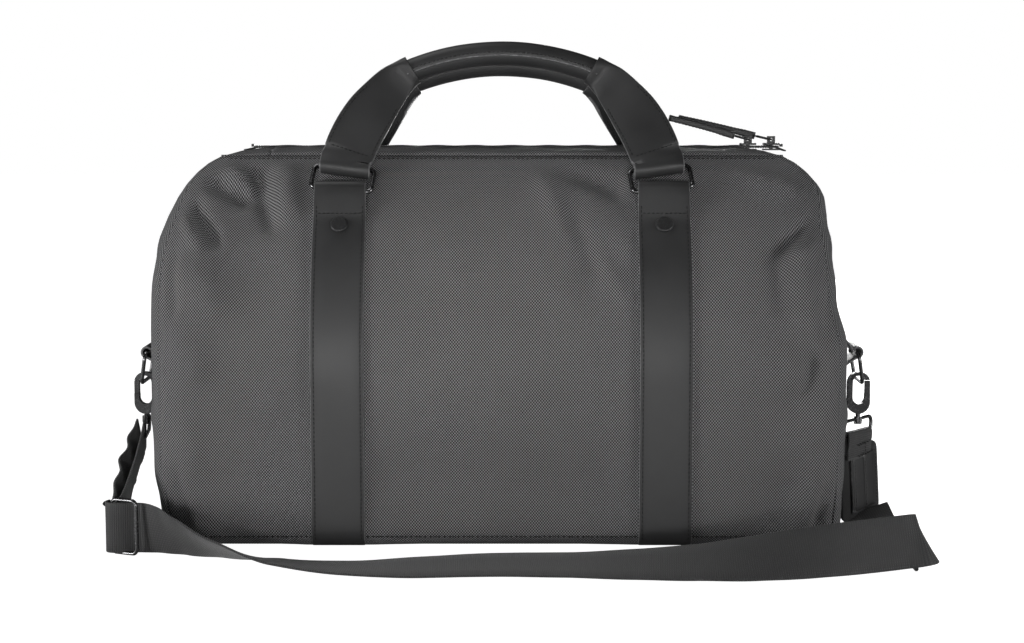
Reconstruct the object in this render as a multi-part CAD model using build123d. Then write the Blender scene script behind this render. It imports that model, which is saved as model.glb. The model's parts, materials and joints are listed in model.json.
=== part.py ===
from build123d import *
import os
from math import atan2, cos, degrees, radians, sin, sqrt, tan

# Weekender bag, millimetres. X runs left to right, Y runs front (-) to rear (+), Z is up.
# The origin is on the floor under the middle of the bag.

# Bag body
BAG_WIDTH = 520.0
BAG_DEPTH = 236.0
BAG_HEIGHT = 300.0
WALL_ARC_R = 205.0        # front and rear walls curve inwards above WALL_ARC_Z
WALL_ARC_Z = 130.0
CROWN_HALF = 32.0         # half depth of the nearly flat top
CROWN_Z = 297.0
BASE_CORNER_R = 15.0
END_CORNER_R = 18.0
HIP_Z = 190.0             # the front outline is straight up to here
HIP_MID = (258.6, 228.0)
SHOULDER_LOW = (250.0, 262.0)
SHOULDER_MID = (240.5, 277.0)
SHOULDER_HIGH = (224.0, 291.0)
SHOULDER_TOP_MID = (206.0, 297.4)
SHOULDER_TOP_X = 182.0
FABRIC = 2.2
LINING = 0.8
SEAM_GAP = 0.3
BASE_SEAM_Z = 14.0
BOARD_THICK = 2.0

# Mouth and zip
MOUTH_HALF = 37.0
MOUTH_LEFT_X = -180.0
MOUTH_RIGHT_X = 125.0
TAPE_HALF = 9.0
TAPE_THICK = 1.0
TEETH_OUTER = 3.2
TEETH_GAP_HALF = 0.5
TEETH_TOP = 300.8
TEETH_THICK = 2.4
TAIL_LEFT_X = -205.0
TAIL_RIGHT_X = 225.0
TAIL_TOP = 299.7
SLIDER_A_X = 196.0
SLIDER_B_X = 214.5
SLIDER_LENGTH = 13.0
SLIDER_HALF = 5.0
SLIDER_FOOT_Z = 296.9

# Leather straps, rings and handles
STRAP_X = 123.0
STRAP_WIDTH = 40.0
LOOP_WIDTH = 39.0
STRAP_THICK = 3.0
STRAP_FOOT_Z = 14.5
LOOP_HOLE_R = 4.8
LOOP_OUTER_R = 6.6
CHAPE_OFFSET = 7.1        # chape axis above the panel's surface
CHAPE_ANGLE = 139.2       # direction of the chape axis from the wall arc's centre
RING_WIRE_R = 1.7
RING_INNER = 43.0
RING_PITCH = 21.0
RING_RISE = 49.8          # the ring plane's slope above horizontal
RING_TILT = 7.0
RIVET_Z = 241.0
RIVET_HEAD_R = 6.7
RIVET_SHANK_R = 2.0
GRIP_R = 10.5
GRIP_CORE_R = 8.6
GRIP_HALF = 75.0
GRIP_Y = 12.0
GRIP_RISE = 15.0
FRONT_GRIP_END_Z = 358.0
REAR_GRIP_END_Z = 350.0

# Side hardware
TAB_Y = -40.0
TAB_WIDTH = 30.0
D_BAR_X = 277.0
D_BAR_Z = 141.0
D_WIRE_R = 1.5
D_HALF = 21.0
D_DROP = 24.0
D_LEAN = 9.5
HOOK_X = 281.0
HOOK_TOP_Z = 124.0
HOOK_HEIGHT = 33.5
HOOK_WIDTH = 18.0
HOOK_THICK = 4.6
HOOK_YAW = 8.0
LOOP_YAW_RIGHT = 50.0
LOOP_YAW_LEFT = 84.0
GATE_LOW = -4.2
GATE_HIGH = 10.0
GATE_PIVOT_X = 7.15
GATE_PIVOT_Y = -2.0
GATE_PIN_R = 0.6
LOOP_WIRE_R = 1.5
LOOP_INNER = 39.0
HOOK_LOOP_BAR_Z = 74.5

# Shoulder strap
WEBBING = 38.0
WEBBING_THICK = 1.6

FRONT = -1
REAR = 1
LEFT = -1
RIGHT = 1
BIG = 700.0

os.makedirs("parts", exist_ok=True)


def save(name, *solids):
    """Write one node; several solids stay separate in it."""
    shapes = []
    for solid in solids:
        shapes.extend(solid.solids())
    shape = shapes[0] if len(shapes) == 1 else Compound(children=shapes)
    export_step(shape, "parts/" + name + ".step")


def block(x_low, x_high, y_low, y_high, z_low, z_high):
    """Axis-aligned box between six planes."""
    centre = ((x_low + x_high) / 2, (y_low + y_high) / 2, (z_low + z_high) / 2)
    return Pos(*centre) * Box(x_high - x_low, y_high - y_low, z_high - z_low)


def rod(start, end, radius):
    """Round bar between two points."""
    axis = Vector(*end) - Vector(*start)
    return Plane(start, z_dir=axis) * Cylinder(radius, axis.length, align=(Align.CENTER, Align.CENTER, Align.MIN))


def wire_loop(plane, width, height, corner, radius):
    """Round wire bent to a rounded rectangle in a plane."""
    path = (plane * RectangleRounded(width, height, corner)).face().outer_wire()
    start = path @ 0
    section = Plane(start, z_dir=path % 0) * Circle(radius)
    return sweep(section, path=path)


def side_profile():
    """Closed YZ outline of the bag seen from its end."""
    half = BAG_DEPTH / 2
    corner = BASE_CORNER_R
    centre = WALL_ARC_R - half
    shallow = sqrt(WALL_ARC_R ** 2 - 120.0 ** 2)
    mid = (shallow - centre, WALL_ARC_Z + 120.0)
    bend = corner * (1 - sqrt(0.5))
    edges = [
        Line((-half + corner, 0), (half - corner, 0)),
        ThreePointArc((half - corner, 0), (half - bend, bend), (half, corner)),
        Line((half, corner), (half, WALL_ARC_Z)),
        ThreePointArc((half, WALL_ARC_Z), mid, (CROWN_HALF, CROWN_Z)),
        ThreePointArc((CROWN_HALF, CROWN_Z), (0, BAG_HEIGHT), (-CROWN_HALF, CROWN_Z)),
        ThreePointArc((-CROWN_HALF, CROWN_Z), (-mid[0], mid[1]), (-half, WALL_ARC_Z)),
        Line((-half, WALL_ARC_Z), (-half, corner)),
        ThreePointArc((-half, corner), (-half + bend, bend), (-half + corner, 0)),
    ]
    return make_face(edges)


def across(point):
    """The same point on the other side of the middle."""
    return (-point[0], point[1])


def front_profile():
    """Closed XZ outline of the bag seen from the front."""
    half = BAG_WIDTH / 2
    corner = END_CORNER_R
    bend = corner * (1 - sqrt(0.5))
    top_x = SHOULDER_TOP_X
    edges = [
        Line((-half + corner, 0), (half - corner, 0)),
        ThreePointArc((half - corner, 0), (half - bend, bend), (half, corner)),
        Line((half, corner), (half, HIP_Z)),
        ThreePointArc((half, HIP_Z), HIP_MID, SHOULDER_LOW),
        ThreePointArc(SHOULDER_LOW, SHOULDER_MID, SHOULDER_HIGH),
        ThreePointArc(SHOULDER_HIGH, SHOULDER_TOP_MID, (top_x, BAG_HEIGHT)),
        Line((top_x, BAG_HEIGHT), (-top_x, BAG_HEIGHT)),
        ThreePointArc((-top_x, BAG_HEIGHT), across(SHOULDER_TOP_MID), across(SHOULDER_HIGH)),
        ThreePointArc(across(SHOULDER_HIGH), across(SHOULDER_MID), across(SHOULDER_LOW)),
        ThreePointArc(across(SHOULDER_LOW), across(HIP_MID), (-half, HIP_Z)),
        Line((-half, HIP_Z), (-half, corner)),
        ThreePointArc((-half, corner), (-half + bend, bend), (-half + corner, 0)),
    ]
    return make_face(edges)


def side_prism(inset):
    """The end outline, taken in by inset, run along the whole width."""
    face = offset(side_profile(), amount=-inset) if inset else side_profile()
    return extrude(Plane.YZ * face, amount=BIG / 2, both=True)


def front_prism(inset):
    """The front outline, taken in by inset, run through the whole depth."""
    face = offset(front_profile(), amount=-inset) if inset else front_profile()
    return extrude(Plane.XZ * face, amount=BIG / 2, both=True)


def wall_point(off, angle):
    """YZ point of the front wall's arc at a direction angle, off the surface."""
    centre_y = WALL_ARC_R - BAG_DEPTH / 2
    reach = WALL_ARC_R + off
    return (centre_y + reach * cos(radians(angle)), WALL_ARC_Z + reach * sin(radians(angle)))


CHAPE_Y, CHAPE_Z = wall_point(CHAPE_OFFSET, CHAPE_ANGLE)
RING_TOP_Y = CHAPE_Y + RING_PITCH * cos(radians(RING_RISE))
RING_TOP_Z = CHAPE_Z + RING_PITCH * sin(radians(RING_RISE))
RING_TOP_X = STRAP_X - RING_PITCH * sin(radians(RING_TILT))
SEAM_Z = WALL_ARC_Z + sqrt(WALL_ARC_R ** 2 - (WALL_ARC_R - BAG_DEPTH / 2 + MOUTH_HALF) ** 2)


def mirrored(solid, front_rear):
    """The front piece itself, or its mirror image at the rear."""
    return solid if front_rear == FRONT else mirror(solid, about=Plane.XZ)


def bag_shell():
    """Outer fabric: wrap panels, end panels and the fixed parts of the mouth."""
    outer = side_prism(0) & front_prism(0)
    wrap = outer - side_prism(FABRIC)
    mouth = MOUTH_HALF - SEAM_GAP / 2
    wall_from = MOUTH_HALF + SEAM_GAP / 2
    low = BASE_SEAM_Z + SEAM_GAP
    panel = wrap & block(-BIG, BIG, -BIG, -wall_from, low, BIG)
    base = wrap & block(-BIG, BIG, -BIG, BIG, -1, BASE_SEAM_Z)
    hole = rod(rivet_point(-FABRIC - 1), rivet_point(STRAP_THICK), RIVET_SHANK_R + 0.05)
    for side in (LEFT, RIGHT):
        panel = panel - Pos(side * STRAP_X, 0, 0) * hole
    save("front_panel", panel)
    save("rear_panel", mirrored(panel, REAR))
    save("base_panel", base)
    ends = (front_prism(0) - front_prism(FABRIC)) & side_prism(FABRIC + 0.02)
    ends = ends - block(TAIL_LEFT_X, TAIL_RIGHT_X, -TAPE_HALF, TAPE_HALF, 280, BIG)
    save("end_panel_left", ends & block(-BIG, -150, -BIG, BIG, 1, BIG))
    save("end_panel_right", ends & block(150, BIG, -BIG, BIG, 1, BIG))
    band = wrap & block(-BIG, BIG, -mouth, mouth, 200, BIG)
    slot = block(-BIG, BIG, -TAPE_HALF, TAPE_HALF, 200, BIG)
    gusset_left = band & block(-BIG, MOUTH_LEFT_X - SEAM_GAP, -BIG, BIG, 200, BIG)
    gusset_right = band & block(MOUTH_RIGHT_X + SEAM_GAP, BIG, -BIG, BIG, 200, BIG)
    save("mouth_gusset_left", gusset_left - slot)
    save("mouth_gusset_right", gusset_right - slot)
    flap = band & block(MOUTH_LEFT_X, MOUTH_RIGHT_X, -BIG, -TAPE_HALF, 200, BIG)
    save("front_placket", flap)
    save("rear_placket", mirrored(flap, REAR))


def lining_and_board():
    """Inner tub of lining cloth, open under the mouth, and the stiff base board."""
    outer = side_prism(FABRIC + 0.1) & front_prism(FABRIC + 0.1)
    inner = side_prism(FABRIC + LINING) & front_prism(FABRIC + LINING)
    mouth = block(-BIG, BIG, -MOUTH_HALF - 3, MOUTH_HALF + 3, 262, BIG)
    washers = block(-STRAP_X - 9, -STRAP_X + 9, -BIG, BIG, RIVET_Z - 12, RIVET_Z + 8)
    tub = outer - inner - mouth - washers - mirror(washers, about=Plane.YZ)
    save("lining", tub)
    floor_z = FABRIC + LINING + 0.3
    board = block(-244, 244, -103, 103, floor_z, floor_z + BOARD_THICK)
    save("base_board", fillet(board.edges().filter_by(Axis.Z), 10))


def zip_half(front_rear):
    """Zip tape and coil sewn to one flap of the mouth."""
    low = TEETH_TOP - TEETH_THICK
    tape = block(MOUTH_LEFT_X, MOUTH_RIGHT_X, -TAPE_HALF, -TEETH_OUTER, TAIL_TOP - TAPE_THICK, TAIL_TOP)
    teeth = block(MOUTH_LEFT_X, MOUTH_RIGHT_X, -TEETH_OUTER, -TEETH_GAP_HALF, low, TEETH_TOP)
    return mirrored(tape, front_rear), mirrored(teeth, front_rear)


def zip_end(x_near, x_far, stop_x):
    """Fixed end of the zip: tape with its free tail, coil and stop."""
    low_x = min(x_near, x_far)
    high_x = max(x_near, x_far)
    low = TEETH_TOP - TEETH_THICK
    tape = block(low_x, high_x, -TAPE_HALF, TAPE_HALF, TAIL_TOP - TAPE_THICK, TAIL_TOP)
    near_edge = min(x_near, stop_x)
    far_edge = max(x_near, stop_x)
    tape = tape - block(near_edge, far_edge, -TEETH_OUTER, TEETH_OUTER, 290, 310)
    solids = [tape]
    for side in (FRONT, REAR):
        edges = sorted((side * TEETH_OUTER, side * TEETH_GAP_HALF))
        solids.append(block(near_edge, far_edge, edges[0], edges[1], low, TEETH_TOP))
    stop_low = min(stop_x, stop_x + (2 if x_far > 0 else -2))
    stop = block(stop_low, stop_low + 2, -3, 3, TAIL_TOP, TAIL_TOP + 2.2)
    return solids, stop


def zip_track():
    """Both moving zip halves, the fixed ends and the two stops."""
    for name, front_rear in (("front", FRONT), ("rear", REAR)):
        tape, teeth = zip_half(front_rear)
        save(name + "_zip_tape", tape)
        save(name + "_zip_teeth", teeth)
    left, left_stop = zip_end(MOUTH_LEFT_X - SEAM_GAP, TAIL_LEFT_X, -198.0)
    right, right_stop = zip_end(MOUTH_RIGHT_X + SEAM_GAP, TAIL_RIGHT_X, 221.5)
    save("zip_fixed_ends", *left, *right)
    save("zip_stops", left_stop, right_stop)


def zip_slider(name, x, strip_side, tip_rise, reach):
    """Slider straddling the coil, its wire link and the leather pull."""
    half = SLIDER_LENGTH / 2
    top = block(x - half, x + half, -SLIDER_HALF, SLIDER_HALF, TEETH_TOP + 0.3, TEETH_TOP + 1.8)
    web = block(x - 1.5, x + 1.5, -0.4, 0.4, SLIDER_FOOT_Z, TEETH_TOP + 0.5)
    foot = block(x - half, x + half, -SLIDER_HALF, SLIDER_HALF, SLIDER_FOOT_Z, SLIDER_FOOT_Z + 1.2)
    bridge = block(x - 3.2, x + 3.2, -0.8, 0.8, TEETH_TOP + 1.7, TEETH_TOP + 7.3)
    pivot_z = TEETH_TOP + 4.6
    hole = rod((x, -5, pivot_z), (x, 5, pivot_z), 1.15)
    save("zip_slider_" + name, fillet(top.edges().filter_by(Axis.Z), 3) + web + foot + bridge - hole)
    strip_mid = strip_side * 9.25
    link_mid = strip_side * 6.6
    turn = Rot(0, tip_rise, 0)
    place = Pos(x, 0, pivot_z) * turn
    link_plane = Plane(origin=(-6, link_mid, 0), z_dir=(0, 0, 1))
    link = wire_loop(link_plane, 12, 19, 2.0, 0.8)
    save("zip_link_" + name, place * link)
    strip = block(-reach, -14.5, strip_mid - 4.6, strip_mid + 4.6, -2.6, 2.6)
    eye = Pos(-12, strip_mid, 0) * Rot(90, 0, 0) * Cylinder(2.6, 9.2)
    bore = Pos(-12, strip_mid, 0) * Rot(90, 0, 0) * Cylinder(1.15, 20)
    neck = block(-15, -12, strip_mid - 4.6, strip_mid + 4.6, -2.6, 2.6)
    save("zip_pull_" + name, place * (strip + neck + eye - bore))


def rivet_point(off):
    """Point on the rivet's axis, off the front panel's surface."""
    angle = 180 - degrees(atan2(RIVET_Z - WALL_ARC_Z, sqrt(WALL_ARC_R ** 2 - (RIVET_Z - WALL_ARC_Z) ** 2)))
    y, z = wall_point(off, angle)
    return (0, y, z)


def strap_profile():
    """YZ outline of a leather strap lying on the panel and folded round the ring at its top."""
    gap = 0.1
    chape_angle = radians(CHAPE_ANGLE)
    inner = side_offset_face(gap)
    outer = side_offset_face(gap + STRAP_THICK)
    band = outer - inner
    band = band & (Pos(-BIG / 2, STRAP_FOOT_Z + 100) * Rectangle(BIG, 200))
    arc_part = (outer - inner) & strap_sector()
    centre = (CHAPE_Y, CHAPE_Z)
    wedge = make_face(Polyline(
        wall_point(gap + STRAP_THICK, CHAPE_ANGLE + 5.5),
        (CHAPE_Y + LOOP_OUTER_R * cos(chape_angle), CHAPE_Z + LOOP_OUTER_R * sin(chape_angle)),
        (CHAPE_Y - LOOP_OUTER_R * cos(chape_angle), CHAPE_Z - LOOP_OUTER_R * sin(chape_angle)),
        wall_point(gap, CHAPE_ANGLE + 5.5),
        close=True))
    loop = Pos(*centre) * Circle(LOOP_OUTER_R)
    hole = Pos(*centre) * Circle(LOOP_HOLE_R)
    return band + arc_part + wedge + loop - hole


def side_offset_face(off):
    """Bag end outline grown by off."""
    return offset(side_profile(), amount=off)


def strap_sector():
    """Wedge of the YZ plane between the vertical wall and the chape."""
    centre = (WALL_ARC_R - BAG_DEPTH / 2, WALL_ARC_Z)
    far = 260.0
    return make_face(Polyline(
        centre,
        (centre[0] - far, centre[1] - 1),
        (centre[0] + far * cos(radians(160)), centre[1] + far * sin(radians(160))),
        (centre[0] + far * cos(radians(CHAPE_ANGLE)), centre[1] + far * sin(radians(CHAPE_ANGLE))),
        close=True))


def leather_straps():
    """Four straps with chapes, and their rivets."""
    strap = extrude(Plane.YZ * strap_profile(), amount=STRAP_WIDTH / 2, both=True)
    trim = (STRAP_WIDTH - LOOP_WIDTH) / 2
    for side in (LEFT, RIGHT):
        edge = side * (STRAP_WIDTH / 2 - trim / 2)
        strap = strap - block(edge - trim / 2 - 0.01, edge + trim / 2 + 0.01, -BIG, 0, CHAPE_Z - 8, BIG)
    strap = strap - rod(rivet_point(-5), rivet_point(10), RIVET_SHANK_R + 0.05)
    rivet = rivet_solid()
    rivets = []
    for word, front_rear in (("front", FRONT), ("rear", REAR)):
        for name, side in (("left", LEFT), ("right", RIGHT)):
            place = Pos(side * STRAP_X, 0, 0)
            save(word + "_strap_" + name, mirrored(place * strap, front_rear))
            rivets.append(mirrored(place * rivet, front_rear))
    save("strap_rivets", *rivets)


def rivet_solid():
    """Domed rivet with its shank and the washer inside the bag."""
    plane = Plane(rivet_point(STRAP_THICK + 0.15), z_dir=Vector(*rivet_point(1)) - Vector(*rivet_point(0)))
    dome = Cylinder(RIVET_HEAD_R, 2.0, align=(Align.CENTER, Align.CENTER, Align.MIN))
    dome = fillet(dome.edges().sort_by(Axis.Z)[-1], 1.6)
    shank_length = STRAP_THICK + FABRIC + 1.6
    low = (Align.CENTER, Align.CENTER, Align.MAX)
    shank = Cylinder(RIVET_SHANK_R, shank_length, align=low)
    washer = Pos(0, 0, -(STRAP_THICK + FABRIC + 0.4)) * Cylinder(5.5, 1.0, align=low)
    return plane * (dome + shank + washer)


def ring_plane(side):
    """Plane of one front ring: x along its bars, y from the chape to the handle loop."""
    tilt = radians(RING_TILT) * side
    rise = radians(RING_RISE)
    up = Vector(0, cos(rise), sin(rise))
    across = Vector(1, 0, 0)
    bar = across * cos(tilt) + up * sin(tilt)
    normal = across.cross(up)
    middle_x = side * (STRAP_X + RING_TOP_X) / 2
    return Plane(origin=(middle_x, (CHAPE_Y + RING_TOP_Y) / 2, (CHAPE_Z + RING_TOP_Z) / 2), x_dir=bar, z_dir=normal)


def ring_solid(side):
    """Rectangular wire ring between a chape and a handle loop."""
    width = RING_INNER + 2 * RING_WIRE_R
    return wire_loop(ring_plane(side), width, RING_PITCH, 4.0, RING_WIRE_R)


def section(point, across, along, width, thick):
    """Rectangle across a strap's path."""
    return Plane(origin=point, x_dir=across, z_dir=along) * RectangleRounded(width, thick, thick * 0.35)


def handle_strap(side, drop):
    """Flat strap from the ring, narrowing up to the end of the grip."""
    x = side
    top = FRONT_GRIP_END_Z - drop
    points = [
        (RING_TOP_X - 1.5, RING_TOP_Y + 2.8, RING_TOP_Z + 5.0),
        (110.0, -46.0, 313.0 - drop * 0.4),
        (98.0, -34.0, 333.0 - drop * 0.7),
        (86.5, -20.0, top - 10.0),
        (GRIP_HALF + 0.2, -GRIP_Y, top),
    ]
    widths = [LOOP_WIDTH, LOOP_WIDTH, 37.0, 28.0, 19.0]
    thicks = [3.4, 5.0, 5.4, 9.0, 14.0]
    leans = [12.0, 22.0, 30.0, 50.0, 66.0]
    faces = []
    for index, point in enumerate(points):
        lean = radians(leans[index])
        across = Vector(x * cos(lean), 0, sin(lean))
        low = Vector(*points[max(index - 1, 0)])
        high = Vector(*points[min(index + 1, len(points) - 1)])
        step = high - low
        along = Vector(x * step.X, step.Y, step.Z)
        if index == len(points) - 1:
            along = Vector(-x * cos(radians(22.6)), 0, sin(radians(22.6)))
            across = Vector(x * sin(radians(22.6)), 0, cos(radians(22.6)))
        across = across - along * (across.dot(along) / along.dot(along))
        faces.append(section((x * point[0], point[1], point[2]), across, along, widths[index], thicks[index]))
    strap = Part() + loft(faces, ruled=True)
    axis = Pos(x * RING_TOP_X, RING_TOP_Y, RING_TOP_Z) * Rot(0, 90, 0)
    strap = strap + axis * Cylinder(LOOP_OUTER_R, LOOP_WIDTH)
    strap = strap - axis * Cylinder(LOOP_HOLE_R, LOOP_WIDTH + 20)
    return strap.solids().sort_by(SortBy.VOLUME)[-1]


def grip(drop):
    """Rolled leather grip: the wrap and the rope core inside it."""
    end_z = FRONT_GRIP_END_Z - drop
    path = ThreePointArc((-GRIP_HALF, -GRIP_Y, end_z), (0, -GRIP_Y, end_z + GRIP_RISE), (GRIP_HALF, -GRIP_Y, end_z))
    plane = Plane(path @ 0, z_dir=path % 0)
    wrap = sweep(plane * (Circle(GRIP_R) - Circle(GRIP_CORE_R + 0.1)), path=path)
    core = sweep(plane * Circle(GRIP_CORE_R), path=path)
    return wrap, core


def handles():
    """Rings, straps and grips of both handles."""
    drops = {FRONT: 0.0, REAR: FRONT_GRIP_END_Z - REAR_GRIP_END_Z}
    for word, front_rear in (("front", FRONT), ("rear", REAR)):
        for name, side in (("left", LEFT), ("right", RIGHT)):
            save(word + "_ring_" + name, mirrored(ring_solid(side), front_rear))
            save(word + "_handle_strap_" + name, mirrored(handle_strap(side, drops[front_rear]), front_rear))
        wrap, core = grip(drops[front_rear])
        save(word + "_grip", mirrored(wrap, front_rear))
        save(word + "_grip_core", mirrored(core, front_rear))


def side_tab(side):
    """Leather tab on the end panel, folded round the D-ring's bar."""
    bar = (D_BAR_X, D_BAR_Z)
    loop = Pos(*bar) * (Circle(5.4) - Circle(2.4))
    wall = BAG_WIDTH / 2 - 0.1
    upper = make_face(Polyline((wall, 160), (wall, 155), (bar[0] + 2.5, bar[1] + 3.9), (bar[0] + 2.5, bar[1] + 5.0),
                               (bar[0] + 1.0, bar[1] + 6.8), close=True))
    lower = make_face(Polyline((wall + 0.3, 128), (wall + 0.3, 124), (bar[0] + 1.5, bar[1] - 5.2),
                               (bar[0] - 1.5, bar[1] - 3.2), close=True))
    plate = make_face(Polyline((wall + 0.3, 110), (wall + 2.8, 110), (wall + 2.8, 164), (wall + 0.3, 164), close=True))
    hole = Pos(*bar) * Circle(2.4)
    tab = extrude(Plane.XZ * (plate + upper + lower + loop - hole), amount=TAB_WIDTH / 2, both=True)
    tab = Pos(0, TAB_Y, 0) * (tab - front_prism(-0.15))
    tab = tab.solids().sort_by(SortBy.VOLUME)[-1]
    return tab if side == RIGHT else mirror(tab, about=Plane.YZ)


def d_ring(side):
    """D-ring hanging from its straight bar."""
    top = (side * D_BAR_X, TAB_Y, D_BAR_Z)
    path = FilletPolyline(
        (0, -D_HALF, 0), (0, D_HALF, 0), (0, D_HALF - 4, -D_DROP), (0, -D_HALF + 4, -D_DROP),
        radius=5.0, close=True)
    wire = path.wire()
    ring = sweep(Plane(wire @ 0, z_dir=wire % 0) * Circle(D_WIRE_R), path=wire)
    return Pos(*top) * Rot(0, -side * D_LEAN, 0) * ring


def hook_outline():
    """Oval rim of the hook around its eye."""
    outer = SlotOverall(HOOK_HEIGHT, HOOK_WIDTH, rotation=90)
    return outer - Pos(0, 2.5) * SlotOverall(22.5, 10.6, rotation=90)


def gate_window(low, high):
    """Part of the rim's gate side between two heights."""
    return Pos(HOOK_WIDTH / 2, (low + high) / 2) * Rectangle(9.4, high - low)


def gate_pin(radius):
    """Pin that the gate turns on."""
    return Pos(GATE_PIVOT_X, GATE_PIVOT_Y, 0) * Cylinder(radius, HOOK_THICK)


def hook_body():
    """Snap hook in its own plane: eye upwards, cheeks for the gate on the +X side, solid foot."""
    half = HOOK_THICK / 2
    body = extrude(hook_outline() - gate_window(GATE_LOW, GATE_HIGH), amount=half, both=True)
    cheek = extrude(hook_outline() & gate_window(GATE_LOW - 0.1, GATE_LOW + 3.6), amount=0.4)
    body = body + Pos(0, 0, half - 0.4) * cheek + Pos(0, 0, -half) * cheek
    stem = Pos(0, -HOOK_HEIGHT / 2 - 3.6, 0) * Rot(90, 0, 0) * Cylinder(1.9, 9.0)
    collar = Pos(0, -HOOK_HEIGHT / 2 - 7.3, 0) * Rot(90, 0, 0) * Cylinder(3.2, 1.4)
    return body + stem + collar - gate_pin(GATE_PIN_R + 0.02)


def hook_gate():
    """Sprung gate closing the hook's eye."""
    gate = extrude(hook_outline() & gate_window(GATE_LOW + 1.2, GATE_HIGH - 0.4), amount=HOOK_THICK / 2 - 0.5, both=True)
    return gate - gate_pin(GATE_PIN_R + 0.05)


def swivel_loop():
    """Wide wire loop that holds the webbing, with the swivel's boss."""
    plane = Plane.XY
    loop = wire_loop(plane, LOOP_INNER + 2 * LOOP_WIRE_R, 12.0, 5.0, LOOP_WIRE_R)
    boss = Pos(0, 6.0, 0) * Rot(90, 0, 0) * Cylinder(3.4, 4.6)
    bore = Pos(0, 6.0, 0) * Rot(90, 0, 0) * Cylinder(2.0, 12)
    window = Pos(0, 6.0, 0) * Rot(90, 0, 0) * Cylinder(2.6, 4.6)
    return loop - window + boss - bore


def hook_place(side, yaw):
    """Frame of a hook or loop: its own Y axis upright, turned about the vertical."""
    spin = Rot(0, 0, yaw if side == RIGHT else 180 - yaw)
    return Pos(side * HOOK_X, TAB_Y, HOOK_TOP_Z - HOOK_HEIGHT / 2) * spin * Rot(90, 0, 0)


def side_hardware():
    """Tabs, D-rings, snap hooks and swivel loops at both ends."""
    for name, side, loop_yaw in (("left", LEFT, LOOP_YAW_LEFT), ("right", RIGHT, LOOP_YAW_RIGHT)):
        place = hook_place(side, HOOK_YAW)
        save("side_tab_" + name, side_tab(side))
        save("d_ring_" + name, d_ring(side))
        save("hook_body_" + name, place * hook_body())
        save("hook_gate_" + name, place * hook_gate())
        save("hook_gate_pin_" + name, place * gate_pin(GATE_PIN_R))
        loop_place = hook_place(side, loop_yaw)
        save("swivel_loop_" + name, loop_place * Pos(0, -HOOK_HEIGHT / 2 - 10.0, 0) * swivel_loop())


def ribbon(points, tilts):
    """Flat webbing along straight runs joined by tangent arcs.

    A tilt is the angle of the webbing's width above horizontal at each point.
    """
    corners = [Vector(*point) for point in points]
    radii = []
    for index in range(1, len(corners) - 1):
        into = corners[index] - corners[index - 1]
        out = corners[index + 1] - corners[index]
        shorter = min(into.length, out.length)
        radii.append(0.45 * shorter / tan(radians(into.get_angle(out)) / 2))
    path = FilletPolyline(*points, radius=radii)
    marks = [0.0]
    for index in range(1, len(corners)):
        marks.append(marks[-1] + (corners[index] - corners[index - 1]).length)
    marks = [mark / marks[-1] for mark in marks]
    faces = []
    steps = 5 * (len(points) - 1)
    for step in range(steps + 1):
        share = step / steps
        along = path % share
        seat = max(index for index in range(len(marks) - 1) if marks[index] <= share + 1e-9)
        part = (share - marks[seat]) / (marks[seat + 1] - marks[seat])
        tilt = radians(tilts[seat] + part * (tilts[seat + 1] - tilts[seat]))
        level = Vector(0, 0, 1).cross(along).normalized()
        rise = along.cross(level).normalized()
        across = level * cos(tilt) + rise * sin(tilt)
        faces.append(Plane(origin=path @ share, x_dir=across, z_dir=along) * Rectangle(WEBBING, WEBBING_THICK))
    return loft(faces, ruled=True)


# Webbing from the left swivel loop down to the wire slider.
LEFT_LAYER = [(-281, -46, 78), (-281.5, -66, 65), (-282.5, -88, 51), (-283.5, -108, 37), (-284.5, -122, 24)]
LEFT_LAYER_TILTS = [-84, -86, -88, -90, -90]

# Long run on the floor in front of the bag, from the wire slider to the strap ring.
FRONT_RUN = [
    (-284, -131, 19.6), (-262, -141, 18.8), (-238, -154, 14.8), (-210, -168, 11.4), (-166, -181, 5.4), (-114, -190, 2.6),
    (-62, -190, 3.4), (-8, -188, 5.4), (50, -195, 6.6), (96, -201, 8.6), (140, -205, 10.8), (182, -207, 14.4),
    (222, -205, 18.4), (262, -204, 22.5), (290, -204, 26.0)]
FRONT_RUN_TILTS = [-80, -66, -50, -30, -9, 0, 8, 11, 13, 20, 28, 42, 58, 74, 82]

# Strap from the ring back to the right hook, flat on the floor beside the bag.
PAD_RUN = [(294, -166, 18), (296, -148, 10), (298, -122, 4), (299, -98, 2.4), (297, -68, 2.4)]
PAD_RUN_TILTS = [52, 30, 10, 0, 0]


def webbing_slider():
    """Wire frame standing on the webbing, which folds round its outer bar."""
    plane = Plane(origin=(-281, -133.5, 20.6), x_dir=(0.92, -0.39, 0), z_dir=(-0.39, -0.92, 0))
    return wire_loop(plane, 21, 40, 4, 1.6)


def strap_ring():
    """Wire ring joining the webbing and the pad strap, leaning in the strap's fold."""
    plane = Plane(origin=(289, -187, 19.2), x_dir=(0, 1, 0), z_dir=(0.906, 0, 0.423))
    return wire_loop(plane, 17, 36, 4, 1.6)


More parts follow.
